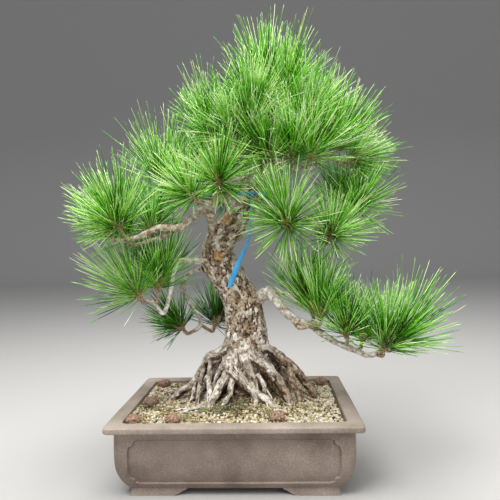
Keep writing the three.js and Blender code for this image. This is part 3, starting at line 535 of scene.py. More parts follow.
GOLDEN = (1 + 5 ** 0.5) / 2
ICO_POINTS = unit(np.array([
    [-1, GOLDEN, 0], [1, GOLDEN, 0], [-1, -GOLDEN, 0], [1, -GOLDEN, 0], [0, -1, GOLDEN], [0, 1, GOLDEN],
    [0, -1, -GOLDEN], [0, 1, -GOLDEN], [GOLDEN, 0, -1], [GOLDEN, 0, 1], [-GOLDEN, 0, -1], [-GOLDEN, 0, 1],
]))
ICO_FACES = np.array([
    [0, 11, 5], [0, 5, 1], [0, 1, 7], [0, 7, 10], [0, 10, 11], [1, 5, 9], [5, 11, 4], [11, 10, 2],
    [10, 7, 6], [7, 1, 8], [3, 9, 4], [3, 4, 2], [3, 2, 6], [3, 6, 8], [3, 8, 9], [4, 9, 5],
    [2, 4, 11], [6, 2, 10], [8, 6, 7], [9, 8, 1],
])


def copied(faces, each, count):
    """The faces of one small body of so many points, repeated for each of its copies."""
    return (faces + np.arange(count)[:, None, None] * each).reshape(-1, 3)


def random_turns(count, random):
    """Rotation matrices turned every way alike, from random unit quaternions."""
    w, x, y, z = unit(random.normal(size=(4, count)).T).T
    return np.stack([
        1 - 2 * (y * y + z * z), 2 * (x * y - z * w), 2 * (x * z + y * w),
        2 * (x * y + z * w), 1 - 2 * (x * x + z * z), 2 * (y * z - x * w),
        2 * (x * z - y * w), 2 * (y * z + x * w), 1 - 2 * (x * x + y * y),
    ], -1).reshape(count, 3, 3)


def loose_grains(random):
    """Twenty-sided lumps with their corners shaken, each stretched and turned its own way, on a shaken grid
    over the soil; none stands outside the pot's mouth, under a cake or inside the foot of the trunk. Each
    has a tone by chance, and a dampness that is highest round the foot and in front of it. At the front
    right the dampness is lowered, so that the grains there are painted paler: a painted pool of light."""
    pitch, (reach_x, reach_y) = GRAIN["pitch"], GRAIN["reach"]
    x, y = np.meshgrid(np.arange(-147, 147, pitch), np.arange(-101.5, 101.5, pitch))
    spot = np.column_stack([x.ravel(), y.ravel()])
    spot += random.uniform(-0.55, 0.55, spot.shape) * pitch
    r = GRAIN["r"] * np.exp(random.normal(0, GRAIN["vary"], len(spot))).clip(0.5, 1.75)
    keep = (np.abs(spot[:, 0]) < reach_x - r) & (np.abs(spot[:, 1]) < reach_y - r)
    for stand_x, stand_y, room in [GRAIN["trunk"], *([x, y, GRAIN["cake"]] for x, y, _ in CAKES)]:
        keep &= np.hypot(spot[:, 0] - stand_x, spot[:, 1] - stand_y) > room
    spot, r = spot[keep], r[keep]
    lumps = ICO_POINTS * (1 + random.uniform(-0.2, 0.2, (len(r), 12, 1)))
    lumps = lumps * random.uniform(0.72, 1.15, (len(r), 1, 3)) * r[:, None, None]
    lumps = np.einsum("nij,nkj->nki", random_turns(len(r), random), lumps)
    height = soil_height(*spot.T) + random.uniform(-1.3, 0.9, len(r)) - r * GRAIN["sunk"]
    points = (lumps + np.column_stack([spot, height])[:, None]).reshape(-1, 3)
    damp = 0.3 + 0.45 * value_noise(np.column_stack([spot, 0 * r]), 26, 12)
    middle, width, share = DAMP_AND_LIGHT["front"]
    damp += share * np.exp(-(((spot - middle) / width) ** 2).sum(1))
    middle, width, share = DAMP_AND_LIGHT["foot"]
    damp += share * np.exp(-(np.hypot(*(spot - middle).T) / width) ** 4)
    # The front right is painted paler: a painted pool of light.
    to_right, to_front, share = DAMP_AND_LIGHT["painted_light"]
    damp -= share * ease(*to_right, spot[:, 0]) * ease(*to_front, spot[:, 1])
    damp += random.uniform(-0.25, 0.25, len(r))
    tone = random.uniform(0, 1, len(r))
    return points, copied(ICO_FACES, 12, len(r)), np.repeat(tone, 12), np.repeat(damp, 12)


# Pumice is a pale volcanic foam: dull, dry and full of tiny holes. Each grain has its own tint, from cream
# to straw, with brown bits of bark among them, and where water stands longest the grains are green and
# dark. Its holes are finer than the millimetre that they need to show here.
pumice, pumice_at = new_material("sieved_pumice")
pumice_tone = add_node(pumice, "Attribute", attribute_name="tone")
pumice_ramp = add_node(pumice, "ValToRGB", {"Fac": pumice_tone}, [
    (0.0, "#3f2e20"), (1.0, "#f8f3e4"), (0.1, "#6f5940"), (0.18, "#a8946f"), (0.36, "#cbbf9f"),
    (0.6, "#dfd6ba"), (0.82, "#e9e2cd"),
])
pumice_pores = add_node(pumice, "TexNoise", {"Vector": pumice_at, "Scale": cells_of(0.909), "Detail": 3.0})
pumice_dirt = add_node(pumice, "ValToRGB", {"Fac": pumice_pores}, [(0.35, "#7d735c"), (0.6, "#ffffff")])
pumice_colour = add_node(pumice, "Mix", {
    "Factor_Float": 0.7, "A_Color": pumice_ramp, "B_Color": pumice_dirt,
}, data_type="RGBA", blend_type="MULTIPLY")
pumice_damp = add_node(pumice, "Attribute", attribute_name="damp")
# Damp darkens the grains; at the front right they are painted paler, a painted pool of light.
damp_ramp = add_node(pumice, "ValToRGB", {"Fac": pumice_damp}, [
    (0.25, "#ffffff"), (1.0, "#574f39"), (0.5, "#dedcc0"), (0.75, "#a09674"),
])
pumice_stained = add_node(pumice, "Mix", {
    "Factor_Float": 0.9, "A_Color": pumice_colour, "B_Color": damp_ramp,
}, data_type="RGBA", blend_type="MULTIPLY")
pumice_bump = add_node(pumice, "Bump", {"Strength": 0.5, "Distance": 0.0006, "Height": pumice_pores})
add_node(pumice, "OutputMaterial", {"Surface": add_node(pumice, "BsdfPrincipled", {
    "Base Color": pumice_stained, "Roughness": 0.95, "Normal": pumice_bump,
})})

# The bed between the grains is the same pumice, darker because it is damp and full of dust.
damp_bed = patterned_material("settled_pumice_dust", "Noise", 4.17, [
    (0.3, "#2c2419"), (0.72, "#9c8c62"), (0.5, "#5f5238"),
], (0.6, 0.001), 0.95, Detail=6.0, Roughness=0.7)

bed = new_piece("soil_bed", *soil_bed(), [damp_bed])
points, faces, tone, damp = loose_grains(np.random.default_rng(19))
grains = new_piece("pumice_grains", points, faces, [pumice], smooth=False, tone=tone, damp=damp)
for piece in (bed, grains):
    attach(piece, "root")
    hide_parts("soil")

# Wood. The trunk, its surface roots and its branches grew as one: a flaring foot, a bend to the left at a
# third of its height and back again, old flaky bark low down and smoother bark on the young wood above.

TRUNK = [
    [10, 16, 64, 34], [10, 15, 100, 44], [10, 14, 122, 40], [11, 13, 145, 36], [12, 12, 165, 33.5],
    [13, 12, 185, 32], [12, 11, 215, 30], [9, 10, 240, 29.5], [0, 9, 262, 26], [-14, 7, 287, 25.5],
    [-25, 6, 305, 26], [-27, 5, 324, 23.5], [-19, 4, 341, 21.5], [-5, 4, 357, 21.5], [4, 5, 373, 18.5],
    [14, 6, 388, 15.5], [22, 7, 403, 15], [33, 9, 425, 14.5], [43, 10, 446, 12], [47, 10, 463, 10.5],
    [45, 9, 481, 9.5], [38, 7, 497, 8.5], [38, 6, 510, 7.5], [47, 3, 526, 6.5], [54, 1, 541, 5.5],
    [56, 0, 552, 4],
]
ROOTS = [
    [[-6, 4, 176, 8], [-27, -3, 166, 7.5], [-44, -2, 159, 6.5], [-58, 0, 134, 6], [-70, 2, 118, 6],
     [-92, 6, 103, 5.5], [-112, 8, 84, 4]],
    [[-50, 0, 150, 4], [-56, -10, 128, 4], [-58, -18, 108, 4], [-62, -26, 84, 3.5]],
    [[-40, -4, 158, 4], [-42, -18, 135, 4.2], [-40, -30, 112, 4], [-42, -38, 84, 3.5]],
    [[-22, 20, 150, 8], [-44, 36, 140, 6.5], [-62, 52, 122, 6], [-78, 66, 104, 5.5], [-92, 78, 82, 4]],
    [[-12, -6, 160, 9], [-10, -20, 148, 8], [8, -28, 130, 7.5], [30, -37, 112, 6.5], [52, -40, 98, 5.5],
     [66, -42, 80, 4]],
    [[8, -14, 170, 7], [17, -26, 150, 6.5], [23, -31, 136, 6], [27, -36, 116, 6], [28, -44, 84, 5]],
    [[18, -16, 170, 9], [32, -20, 157, 8.5], [48, -22, 144, 8], [62, -20, 126, 7.5], [72, -22, 108, 7],
     [84, -24, 80, 5]],
    [[34, 0, 176, 9], [54, 3, 165, 8], [76, 6, 148, 7], [94, 8, 130, 6.5], [110, 10, 108, 6],
     [126, 12, 82, 4.5]],
    [[78, 6, 146, 5], [84, -4, 124, 5], [92, -14, 100, 4.5], [98, -20, 80, 3.5]],
    [[-14, -14, 138, 8.5], [-26, -24, 120, 6.5], [-36, -38, 102, 5], [-44, -52, 84, 3.5]],
    [[14, 40, 150, 9], [14, 58, 128, 8], [6, 78, 104, 6.5], [0, 92, 82, 4.5]],
    [[32, 30, 160, 9], [56, 44, 138, 8], [78, 58, 112, 7], [96, 70, 84, 4.5]],
    [[-16, 34, 140, 8], [-34, 58, 116, 7], [-46, 80, 98, 5.5], [-52, 90, 80, 4]],
    [[58, 4, 150, 6], [64, 20, 128, 6], [86, 34, 104, 5.5], [102, 42, 82, 4]],
]
FINE_ROOTS = [
    [[44, -30, 118, 1.6], [50, -38, 110, 1.4], [54, -44, 98, 1.3], [62, -50, 88, 1.2]],
    [[40, -34, 108, 1.5], [45, -48, 100, 1.3], [50, -58, 89, 1.1]],
    [[48, -56, 91, 1.8], [58, -58, 97, 2.0], [68, -60, 96, 1.9], [78, -60, 88, 1.6]],
    [[-46, -40, 98, 2.6], [-58, -46, 97, 2.4], [-72, -50, 94, 2.0], [-88, -62, 89, 1.4]],
    [[-68, -46, 95, 1.8], [-82, -40, 93, 1.6], [-98, -40, 89, 1.2]],
    [[-14, 12, 158, 7], [-36, 14, 134, 6], [-50, 22, 112, 5], [-60, 30, 90, 4]],
    [[-20, -2, 152, 4], [-30, -12, 136, 3.6], [-34, -16, 118, 3.2], [-33, -24, 100, 2.8],
     [-30, -36, 88, 2.2]],
    [[-58, 0, 136, 3], [-66, -6, 118, 2.8], [-68, -14, 104, 2.6], [-76, -20, 90, 2.2]],
    [[-18, 6, 136, 8], [-34, 2, 116, 7], [-47, -4, 98, 6], [-56, -8, 84, 5]],
    [[40, 12, 160, 7], [58, 14, 136, 6.5], [74, 20, 112, 5.5], [88, 26, 84, 4]],
    [[0, -18, 142, 5], [-8, -30, 126, 4.2], [-10, -36, 112, 3.6], [-20, -44, 98, 3], [-26, -52, 88, 2]],
    [[30, -26, 140, 3.4], [40, -30, 124, 3], [42, -36, 108, 2.6], [50, -42, 92, 2]],
    [[66, -20, 124, 3], [74, -26, 108, 2.8], [78, -34, 94, 2.2]],
]
BRANCHES = {
    "right_low": [
        [12, 8, 243, 13], [30, -2, 248, 11], [42, -13, 255, 9], [49, -20, 261, 7.5], [59, -30, 251, 7],
        [70, -36, 237, 6.5], [90, -43, 220, 6], [109, -46, 214, 5], [122, -48, 204, 4.8],
        [140, -50, 192, 4.4], [170, -54, 179, 4], [188, -55, 172, 3.6], [201, -55, 175, 3.4],
        [217, -54, 181, 3],
    ],
    "right_low_twig": [[57, -28, 252, 4], [64, -28, 259, 3.2], [81, -34, 258, 2.8], [93, -38, 252, 2.6]],
    "right_low_hook": [[88, -43, 221, 4], [92, -50, 212, 3.2], [105, -54, 214, 2.8], [116, -56, 221, 2.6]],
    "left_low": [
        [-18, 0, 303, 9], [-35, -8, 306, 7], [-47, -16, 307, 5], [-68, -26, 309, 3.8], [-79, -30, 310, 3.4],
        [-87, -33, 296, 3], [-93, -37, 267, 2.8], [-97, -38, 250, 3], [-104, -39, 233, 2.8],
        [-110, -40, 238, 2.8], [-117, -40, 249, 2.6], [-129, -40, 254, 2.4],
    ],
    "left_back": [
        [-18, 6, 300, 8], [-40, 8, 298, 5], [-63, 14, 294, 4], [-81, 20, 283, 3.6], [-86, 24, 265, 3.4],
        [-81, 26, 249, 3.2], [-69, 28, 229, 3.2], [-60, 29, 215, 3], [-62, 30, 202, 3], [-70, 30, 196, 2.8],
    ],
    "left_long": [
        [-18, 0, 338, 13], [-27, -6, 342, 9], [-32, -14, 357, 8], [-33, -20, 371, 7], [-38, -28, 382, 6.5],
        [-46, -36, 380, 6], [-62, -46, 369, 5.5], [-75, -50, 358, 5], [-103, -58, 357, 4.4],
        [-135, -62, 344, 4], [-157, -62, 341, 3.6], [-168, -62, 343, 3],
    ],
    "left_long_twig": [
        [-80, -52, 357, 3.4], [-102, -46, 344, 3.2], [-117, -44, 341, 3], [-141, -42, 334, 2.8],
        [-151, -41, 336, 2.6],
    ],
    "hook_front": [
        [14, 4, 392, 8], [-7, -22, 398, 5], [-23, -40, 402, 4.6], [-21, -50, 397, 4.2], [-25, -56, 388, 4.2],
        [-33, -58, 391, 4], [-43, -58, 395, 3.2],
    ],
    "left_high": [
        [34, 9, 429, 9], [5, 22, 434, 6], [-30, 24, 432, 5], [-65, 16, 424, 4.4], [-97, 8, 421, 3.6],
    ],
    "left_top": [[46, 9, 478, 7], [20, 12, 480, 5], [-8, 4, 484, 4.2], [-24, -9, 489, 3.2]],
    "top_front": [[42, 8, 480, 6], [25, -8, 482, 4.4], [24, -17, 489, 3.6]],
    "right_top": [[46, 3, 524, 6], [75, 6, 512, 4.6], [105, 8, 500, 4.2], [130, 8, 495, 3.4]],
    "right_high": [
        [40, 9, 446, 9], [59, -12, 448, 5.8], [74, -24, 446, 5.2], [93, -18, 443, 4.8], [108, -14, 442, 4.5],
        [125, -10, 447, 4], [134, -8, 456, 3.8], [147, -6, 459, 3.4], [162, -5, 455, 2.8],
    ],
    "right_mid": [
        [20, 8, 392, 11], [47, -10, 383, 6.4], [69, -26, 375, 5.2], [94, -34, 370, 4.6], [111, -34, 365, 4.2],
        [119, -34, 352, 3.6], [130, -34, 342, 3],
    ],
    "right_mid_twig": [[108, -33, 366, 4], [144, -14, 376, 3.6], [170, -4, 380, 3]],
    "back_mid": [[12, 8, 382, 10], [8, 40, 392, 6], [-2, 75, 402, 5], [-11, 102, 407, 3.6]],
    "back_high": [[44, 10, 458, 8], [58, 40, 464, 5.2], [73, 72, 471, 3.8]],
}
GREW_FROM = {
    "right_low_twig": "right_low", "right_low_hook": "right_low", "left_long_twig": "left_long",
    "right_mid_twig": "right_mid",
}
WHITE_WOOD = {"branch": "left_low", "below": 311, "above": 254, "left_of": -74}
# How pale each branch's bark is, 0.8 where it isn't listed. The listed branches lie under the needles above
# them and are painted darker: painted shade.
SHADED_BRANCH_PALENESS = {"left_long": 0.35, "left_long_twig": 0.45, "hook_front": 0.6}
SCAR = {"at": [-23.5, -18.5, 316], "r": 8.0}
TORN = {"at": [-13, -12, 373], "r": 9.5}
BARK = {
    "plate": [9.6, 6.0], "deep": 1.9, "ledge": 0.7, "blend": 9.0, "knots": [[34, 2.2], [14, 1.1]],
    "plates_from": [150, 215], "plates_to": [470, 380], "wrinkled": [195, 150], "pale_at": [168, 22],
    "foot": [112, 150], "lit_foot": [122, 156],
}


def smooth_curve(rows, step):
    """A centripetal Catmull-Rom curve through the rows' first three numbers, which carries the others
    along, at even steps. It also gives how far along each step lies."""
    rows = np.asarray(rows, float)
    rows = np.concatenate([[2 * rows[0] - rows[1]], rows, [2 * rows[-1] - rows[-2]]])
    knots = np.concatenate([[0], np.cumsum(np.linalg.norm(np.diff(rows[:, :3], axis=0), axis=1) ** 0.5)])
    fine = np.linspace(knots[1], knots[-2], 40 * (len(rows) - 3) + 1)
    span = np.clip(np.searchsorted(knots, fine, side="right") - 1, 1, len(rows) - 3)
    t0, t1, t2, t3 = (knots[span + k][:, None] for k in (-1, 0, 1, 2))
    p0, p1, p2, p3 = (rows[span + k] for k in (-1, 0, 1, 2))

    def between(a, b, start, end):
        return ((end - fine[:, None]) * a + (fine[:, None] - start) * b) / (end - start)

    a, b, c = between(p0, p1, t0, t1), between(p1, p2, t1, t2), between(p2, p3, t2, t3)
    curve = between(between(a, b, t0, t2), between(b, c, t1, t3), t1, t2)
    run = np.concatenate([[0], np.cumsum(np.linalg.norm(np.diff(curve[:, :3], axis=0), axis=1))])
    even = np.linspace(0, run[-1], max(3, round(run[-1] / step) + 1))
    return np.column_stack([np.interp(even, run, column) for column in curve.T]), even


def ring_axes(centres):
    """At each centre the way ahead, and two axes square to it that don't twist from ring to ring."""
    ahead = unit(np.gradient(centres, axis=0))
    side = [np.cross(ahead[0], [0.3, 0.8, 0.5])]
    for way in ahead:
        side.append(unit(side[-1] - way * (side[-1] @ way)))
    return ahead, np.array(side[1:]), np.cross(ahead, side[1:])


def limb_grid(path, step, columns):
    """Rings of unit outward vectors along a limb's curve, their centres and radii, and each point's place
    on the limb laid straight, in millimetres, for patterns that follow its grain."""
    curve, along = smooth_curve(path, step)
    _, side, across = ring_axes(curve[:, :3])
    turn = np.linspace(0, 2 * np.pi, columns, endpoint=False)
    outward = np.cos(turn)[:, None] * side[:, None] + np.sin(turn)[:, None] * across[:, None]
    radius = np.broadcast_to(curve[:, 3:4], outward.shape[:2])
    laid = np.stack([
        np.broadcast_to(along[:, None], radius.shape), radius * np.cos(turn), radius * np.sin(turn),
    ], -1)
    return curve[:, None, :3], radius, outward, laid


def rods(paths, step=8):
    """The limbs as straight tapered rods, one row for each: its two ends and their radii."""
    rows = [smooth_curve(path, step)[0] for path in paths]
    return np.concatenate([np.hstack([row[:-1, :3], row[1:, :3], row[:-1, 3:], row[1:, 3:]]) for row in rows])


def room_to(points, rows, reach=14):
    """How far each point lies outside the nearest of the rods, up to the reach."""
    flat = points.reshape(-1, 3)
    room = np.full(len(flat), float(reach))
    low, high = flat.min(0) - reach, flat.max(0) + reach
    thick = rows[:, 6:].max(1)[:, None]
    near = np.all(np.minimum(rows[:, :3], rows[:, 3:6]) - thick < high, axis=1)
    near &= np.all(np.maximum(rows[:, :3], rows[:, 3:6]) + thick > low, axis=1)
    for row in rows[near]:
        way = row[3:6] - row[:3]
        share = np.clip((flat - row[:3]) @ way / (way @ way), 0, 1)
        away = np.linalg.norm(flat - row[:3] - share[:, None] * way, axis=1)
        np.minimum(room, away - (row[6] + share * (row[7] - row[6])), out=room)
    return room.reshape(points.shape[:-1])


def swell(room, blend):
    """How much the bark rises where another limb comes near, so that the two run into one another."""
    return np.maximum(blend - np.abs(room), 0) ** 2 / (4 * blend)


def plates(laid, along, around, seed):
    """Bark plates: the space round the limb is shared out among scattered points, farther apart along it
    than round it. Gives how far each place lies from its plate's edge, and a random number for its
    plate."""
    scaled = laid / [along, around, around]
    coarse, fine = ([value_noise(scaled, size, seed + k) for k in range(3)] for size in (0.8, 0.3))
    scaled = scaled + np.stack(coarse, -1) * 0.4 + np.stack(fine, -1) * 0.16
    cell = np.floor(scaled).astype(int)
    table = np.random.default_rng(seed).uniform(0, 1, (24, 24, 24, 4))
    nearest = np.full(scaled.shape[:-1], 9.0)
    second, tone = nearest.copy(), nearest.copy()
    for step in np.ndindex(3, 3, 3):
        home = cell + np.array(step) - 1
        drawn = table[home[..., 0] % 24, home[..., 1] % 24, home[..., 2] % 24]
        away = np.linalg.norm(home + drawn[..., :3] - scaled, axis=-1)
        closer = away < nearest
        second = np.where(closer, nearest, np.minimum(second, away))
        tone = np.where(closer, drawn[..., 3], tone)
        nearest = np.where(closer, away, nearest)
    return second - nearest, tone


def trunk_body():
    """The trunk's rings with, from coarse to fine, swellings towards roots and branches, knots and hollows,
    plates of bark that stand between cracks, and the flakes on them. The plates fade out into the pale
    wrinkled bark of the foot. A healed cut is a ring of callus round a flat of bare wood."""
    centres, radius, outward, laid = limb_grid(TRUNK, 1.6, 150)
    surface = centres + outward * radius[..., None]
    height = surface[..., 2]
    grow = swell(room_to(surface, rods([*ROOTS, *BRANCHES.values()])), BARK["blend"]) * 1.2
    scale = np.clip(radius / 26, 0.25, 1.2)
    for seed, (size, swing) in enumerate(BARK["knots"], start=31):
        grow = grow + value_noise(laid, size, seed) * swing * scale
    edge, tone = plates(laid, *BARK["plate"], 33)
    old = ease(*BARK["plates_from"], height) * (0.35 + 0.65 * ease(*BARK["plates_to"], height))
    old = old + 0.3 * ease(*BARK["plates_from"][::-1], height)
    plate = ease(0.0, 0.17, edge)
    flakes = value_noise(laid * [0.6, 1, 1], 2.6, 34)
    layers = value_noise(laid * [0.7, 1, 1], 5.5, 36)
    ledges = ease(-0.3, -0.2, layers) + ease(0.05, 0.15, layers) + ease(0.4, 0.5, layers) - 1.5
    deep = BARK["deep"] * np.clip(radius / 24, 0.3, 1.1)
    grow = grow + old * deep * (plate - 0.8) + old * (tone - 0.5) * 1.1 * scale
    grow = grow + (flakes * 0.6 + ledges * BARK["ledge"] * old) * scale
    grow = grow + value_noise(laid * [0.12, 1, 1], 2.4, 35) * ease(*BARK["wrinkled"], height)
    frayed = 1 + 0.12 * flakes + 0.16 * layers
    to_scar = np.linalg.norm(surface - SCAR["at"], axis=-1) / SCAR["r"] * frayed
    callus, cut = hump(to_scar, 1.25, 0.3), ease(1.08, 0.92, to_scar)
    grow = grow * (1 - cut) * (1 - 0.6 * callus) + callus * 2.6 - cut * 1.2
    rings = centres + outward * (radius + grow)[..., None]
    to_tear = np.linalg.norm(surface - TORN["at"], axis=-1) / TORN["r"] * (frayed + 0.3 * flakes)
    bare = np.maximum(ease(1.25, 0.3, to_scar), ease(1.1, 0.7, to_tear) * 0.75)
    plate = np.clip(plate * old + (1 - old) * (0.72 + 0.28 * flakes), 0, 1)
    plate = plate * (0.4 + 0.6 * ease(*BARK["lit_foot"], height))
    pale = hump(height, *BARK["pale_at"]) * 0.5 + 0.18 * layers + 0.25 * ease(0.5, -0.7, outward[..., 0])
    return rings, plate, tone, np.clip(pale * ease(*BARK["foot"], height), 0, 1), bare


def root_body(path, others, grain):
    """A root's rings: long wrinkles that follow it, swellings, small flakes of bark, and a rise into the
    trunk."""
    centres, radius, outward, laid = limb_grid(path, 1.6, 34 if path[0][3] > 4.5 else 14)
    surface = centres + outward * radius[..., None]
    thick = np.clip(radius / 7, 0.2, 1.2)
    grow = swell(room_to(surface, others), BARK["blend"])
    wrinkle = value_noise(laid * [0.12, 1, 1], 2.2, grain) * 0.9
    lump = value_noise(laid, 9, grain + 1) * 1.7
    fine = value_noise(laid * [0.5, 1, 1], 1.7, grain + 2) * 0.45
    edge, tone = plates(laid, 9.0, 3.6, grain + 4)
    flake = ease(0.0, 0.25, edge)
    raised = (wrinkle + lump + fine + (flake - 0.7) * 0.6) * thick
    rings = centres + outward * (radius + grow + raised)[..., None]
    lit = ease(-0.6, 0.6, outward[..., 2])
    plate = np.clip(0.45 + 0.5 * flake + 0.45 * wrinkle, 0, 1) * (0.3 + 0.75 * lit)
    brown, paleness = ease(38, 85, surface[..., 0]), ease(3, 2, radius) + 0 * lit
    pale = (0.2 + 0.75 * lit + 0.35 * value_noise(laid, 12, 3)) * (1 - 0.85 * brown)
    pale, tone = np.clip(pale + paleness, 0, 1), np.maximum(tone * (1 - 0.6 * brown), 0.75 * paleness)
    return rings, plate, tone, pale, 0 * pale


def branch_body(name, path, others, grain):
    """A branch's rings: knobs where needles once stood, short cracks round it and fine flakes, darker and
    rougher where it leaves the trunk. The white twig has lost its bark and is smooth."""
    centres, radius, outward, laid = limb_grid(path, 1.7, 22 if path[0][3] > 5 else 14)
    surface = centres + outward * radius[..., None]
    thick = np.clip(radius / 5, 0.3, 1.5)
    white = np.zeros(radius.shape)
    if name == WHITE_WOOD["branch"]:
        high = surface[..., 2]
        white = ease(0, 8, WHITE_WOOD["below"] - high) * ease(0, 12, high - WHITE_WOOD["above"])
        white = white * (surface[..., 0] < WHITE_WOOD["left_of"])
    edge, tone = plates(laid, 5.5, 4.0, grain)
    plate, tone = 0.55 + 0.45 * ease(0.0, 0.2, edge), 0.35 + 0.65 * tone
    knobs = value_noise(laid * [1, 0.5, 0.5], 4.2, grain + 1) * 0.55 + value_noise(laid, 9, grain + 2) * 0.5
    room = room_to(surface, others)
    old = ease(14, 2, room)
    plate, tone = plate * (1 - 0.3 * old), tone * (1 - 0.6 * old)
    grow = swell(room, 6) + (1 - 0.7 * white) * thick * (knobs + (plate - 0.7) * 0.7)
    rings = centres + outward * (radius + grow)[..., None]
    # Branches under the needles are painted darker, a painted shade.
    paleness = SHADED_BRANCH_PALENESS.get(name, 0.8)
    pale = (paleness + 0.3 * value_noise(laid, 12, grain + 3)) * (1 - old) + white
    tone = np.maximum(tone * min(1, 0.45 + 0.7 * paleness), 1.15 * white)
    return rings, np.maximum(plate, white), tone, np.clip(pale, 0, 1), 0 * white


def limb_piece(name, bodies):
    """Limbs as one piece; the poles take the numbers of the ring next to them."""
    points, faces = joined([closed_rings(rings) for rings, *_ in bodies])
    numbers = {}
    for k, attribute in enumerate(("plate", "tone", "pale", "bare"), start=1):
        numbers[attribute] = np.concatenate([
            np.concatenate([body[k].ravel(), [body[k][0].mean(), body[k][-1].mean()]]) for body in bodies
        ])
    piece = new_piece(name, points, faces, [bark], **numbers)
    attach(piece, "root")
    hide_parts("wood")


# Pine bark is dead cork: dull, flaking in grey-beige plates over dark brown cracks. At the foot and on the
# roots it is paler and finer, twigs that lost it are almost white, and cut wood is tan.
bark, bark_at = new_material("flaky_pine_bark")
bark_mottle = add_node(bark, "TexNoise", {
    "Vector": bark_at, "Scale": cells_of(5.88), "Detail": 7.0, "Roughness": 0.68,
})
bark_tone, bark_pale, bark_plate, bark_bare = (
    add_node(bark, "Attribute", attribute_name=name) for name in ("tone", "pale", "plate", "bare")
)
bark_mixed = add_node(bark, "Math", {0: bark_tone, 1: 0.3, 2: bark_mottle}, operation="MULTIPLY_ADD")
old_ramp = add_node(bark, "ValToRGB", {"Fac": bark_mixed}, [
    (0.44, "#5f4631"), (0.84, "#f0eadf"), (0.55, "#92785e"), (0.64, "#b5a087"), (0.73, "#d1c4b0"),
])
pale_ramp = add_node(bark, "ValToRGB", {"Fac": bark_mixed}, [
    (0.42, "#60564c"), (0.88, "#ece8e1"), (0.56, "#958a7c"), (0.7, "#c0b6a9"),
])
bark_face = add_node(bark, "Mix", {
    "Factor_Float": bark_pale, "A_Color": old_ramp, "B_Color": pale_ramp,
}, data_type="RGBA")
crack_fray = add_node(bark, "Math", {0: bark_mottle, 1: 1.1, 2: -0.55}, operation="MULTIPLY_ADD")
crack_share = add_node(bark, "Math", {0: bark_plate, 1: crack_fray}, operation="ADD")
crack_ramp = add_node(bark, "ValToRGB", {"Fac": crack_share}, [
    (0.1, "#33241a"), (0.6, "#ffffff"), (0.32, "#866749"),
])
bark_cracked = add_node(bark, "Mix", {
    "Factor_Float": 0.92, "A_Color": bark_face, "B_Color": crack_ramp,
}, data_type="RGBA", blend_type="MULTIPLY")
bare_ramp = add_node(bark, "ValToRGB", {"Fac": bark_mottle}, [
    (0.38, "#7c5230"), (0.62, "#e3bd88"), (0.5, "#bd9058"),
])
bark_colour = add_node(bark, "Mix", {
    "Factor_Float": bark_bare, "A_Color": bark_cracked, "B_Color": bare_ramp,
}, data_type="RGBA")
bark_flakes = add_node(bark, "TexNoise", {
    "Vector": bark_at, "Scale": cells_of(2.38), "Detail": 6.0, "Roughness": 0.7,
})
bark_bump = add_node(bark, "Bump", {"Strength": 0.7, "Distance": 0.0012, "Height": bark_flakes})
add_node(bark, "OutputMaterial", {"Surface": add_node(bark, "BsdfPrincipled", {
    "Base Color": bark_colour, "Roughness": 0.88, "Normal": bark_bump,
})})

trunk_rods = rods([TRUNK])
wood_rods = rods([TRUNK, *ROOTS, *BRANCHES.values()])
limb_piece("trunk", [trunk_body()])
limb_piece("surface_roots", [
    root_body(path, trunk_rods, 40 + 5 * k) for k, path in enumerate(ROOTS + FINE_ROOTS)
])
limb_piece("branches", [
    branch_body(name, path, rods([BRANCHES.get(GREW_FROM.get(name), TRUNK)]), 120 + 7 * k)
    for k, (name, path) in enumerate(BRANCHES.items())
])

# Label. A strip of soft blue polyvinyl: a narrow strap in a loop round the trunk, and a wider blade with a
# blunt point that hangs down across the trunk's front. It bears nothing.

TAG = {"strap": 3.0, "blade": 8.0, "thick": 0.8, "loop": 21.0, "across": [1, 0.15, 0.35]}
TAG_LOOP = [27.1, 9.6, 409]
TAG_TAIL = [[27, -12, 409], [27, -16, 395], [26, -25, 365], [21, -29, 336], [6, -30, 303], [-8, -30, 269]]
TAG_WIDTHS = [[0, 0], [0.45, 0], [0.55, 0.2], [0.66, 0.6], [0.78, 0.95], [0.86, 1], [0.95, 0.9], [1, 0.3]]


def flat_section(half, thick):
    """The strip's cross section, flat with its edges rounded over: across it and out of its face."""
    turn = np.radians([-60, -20, 20, 60])
    right = np.column_stack([np.cos(turn), np.sin(turn)]) * thick / 2
    edge = np.concatenate([right, [[0, thick / 2]], -right, [[0, -thick / 2]]])
    return edge + np.sign(edge[:, :1]) * max(half - thick / 2, 0) * [[1, 0]]


def tag_tail():
    """The strip carried down its smooth curve, with the width that it has at each place."""
    curve, along = smooth_curve(TAG_TAIL, 1.5)
    wide = np.interp(along / along[-1], *np.array(TAG_WIDTHS).T)
    half = (wide * TAG["blade"] + (1 - wide) * TAG["strap"]) / 2
    ahead = unit(np.gradient(curve, axis=0))
    across = unit(np.array(TAG["across"]) - ahead * (ahead @ TAG["across"])[:, None])
    out = np.cross(ahead, across)
    section = np.array([flat_section(h, TAG["thick"]) for h in half])
    return closed_rings(curve[:, None] + section[..., :1] * across[:, None] + section[..., 1:] * out[:, None])


def tag_ring():
    """The strap as a ring, its section carried once round a circle and joined to its own start."""
    turn = np.linspace(0, 2 * np.pi, 96, endpoint=False)[:, None]
    section = flat_section(TAG["strap"] / 2, TAG["thick"])
    r = TAG["loop"] + TAG["thick"] / 2 + section[None, :, 1]
    rings = np.stack([r * np.cos(turn), r * np.sin(turn), section[None, :, 0] + 0 * r * turn], -1) + TAG_LOOP
    rows, columns, _ = rings.shape
    return rings.reshape(-1, 3), grid_faces(rows + 1, columns) % (rows * columns)


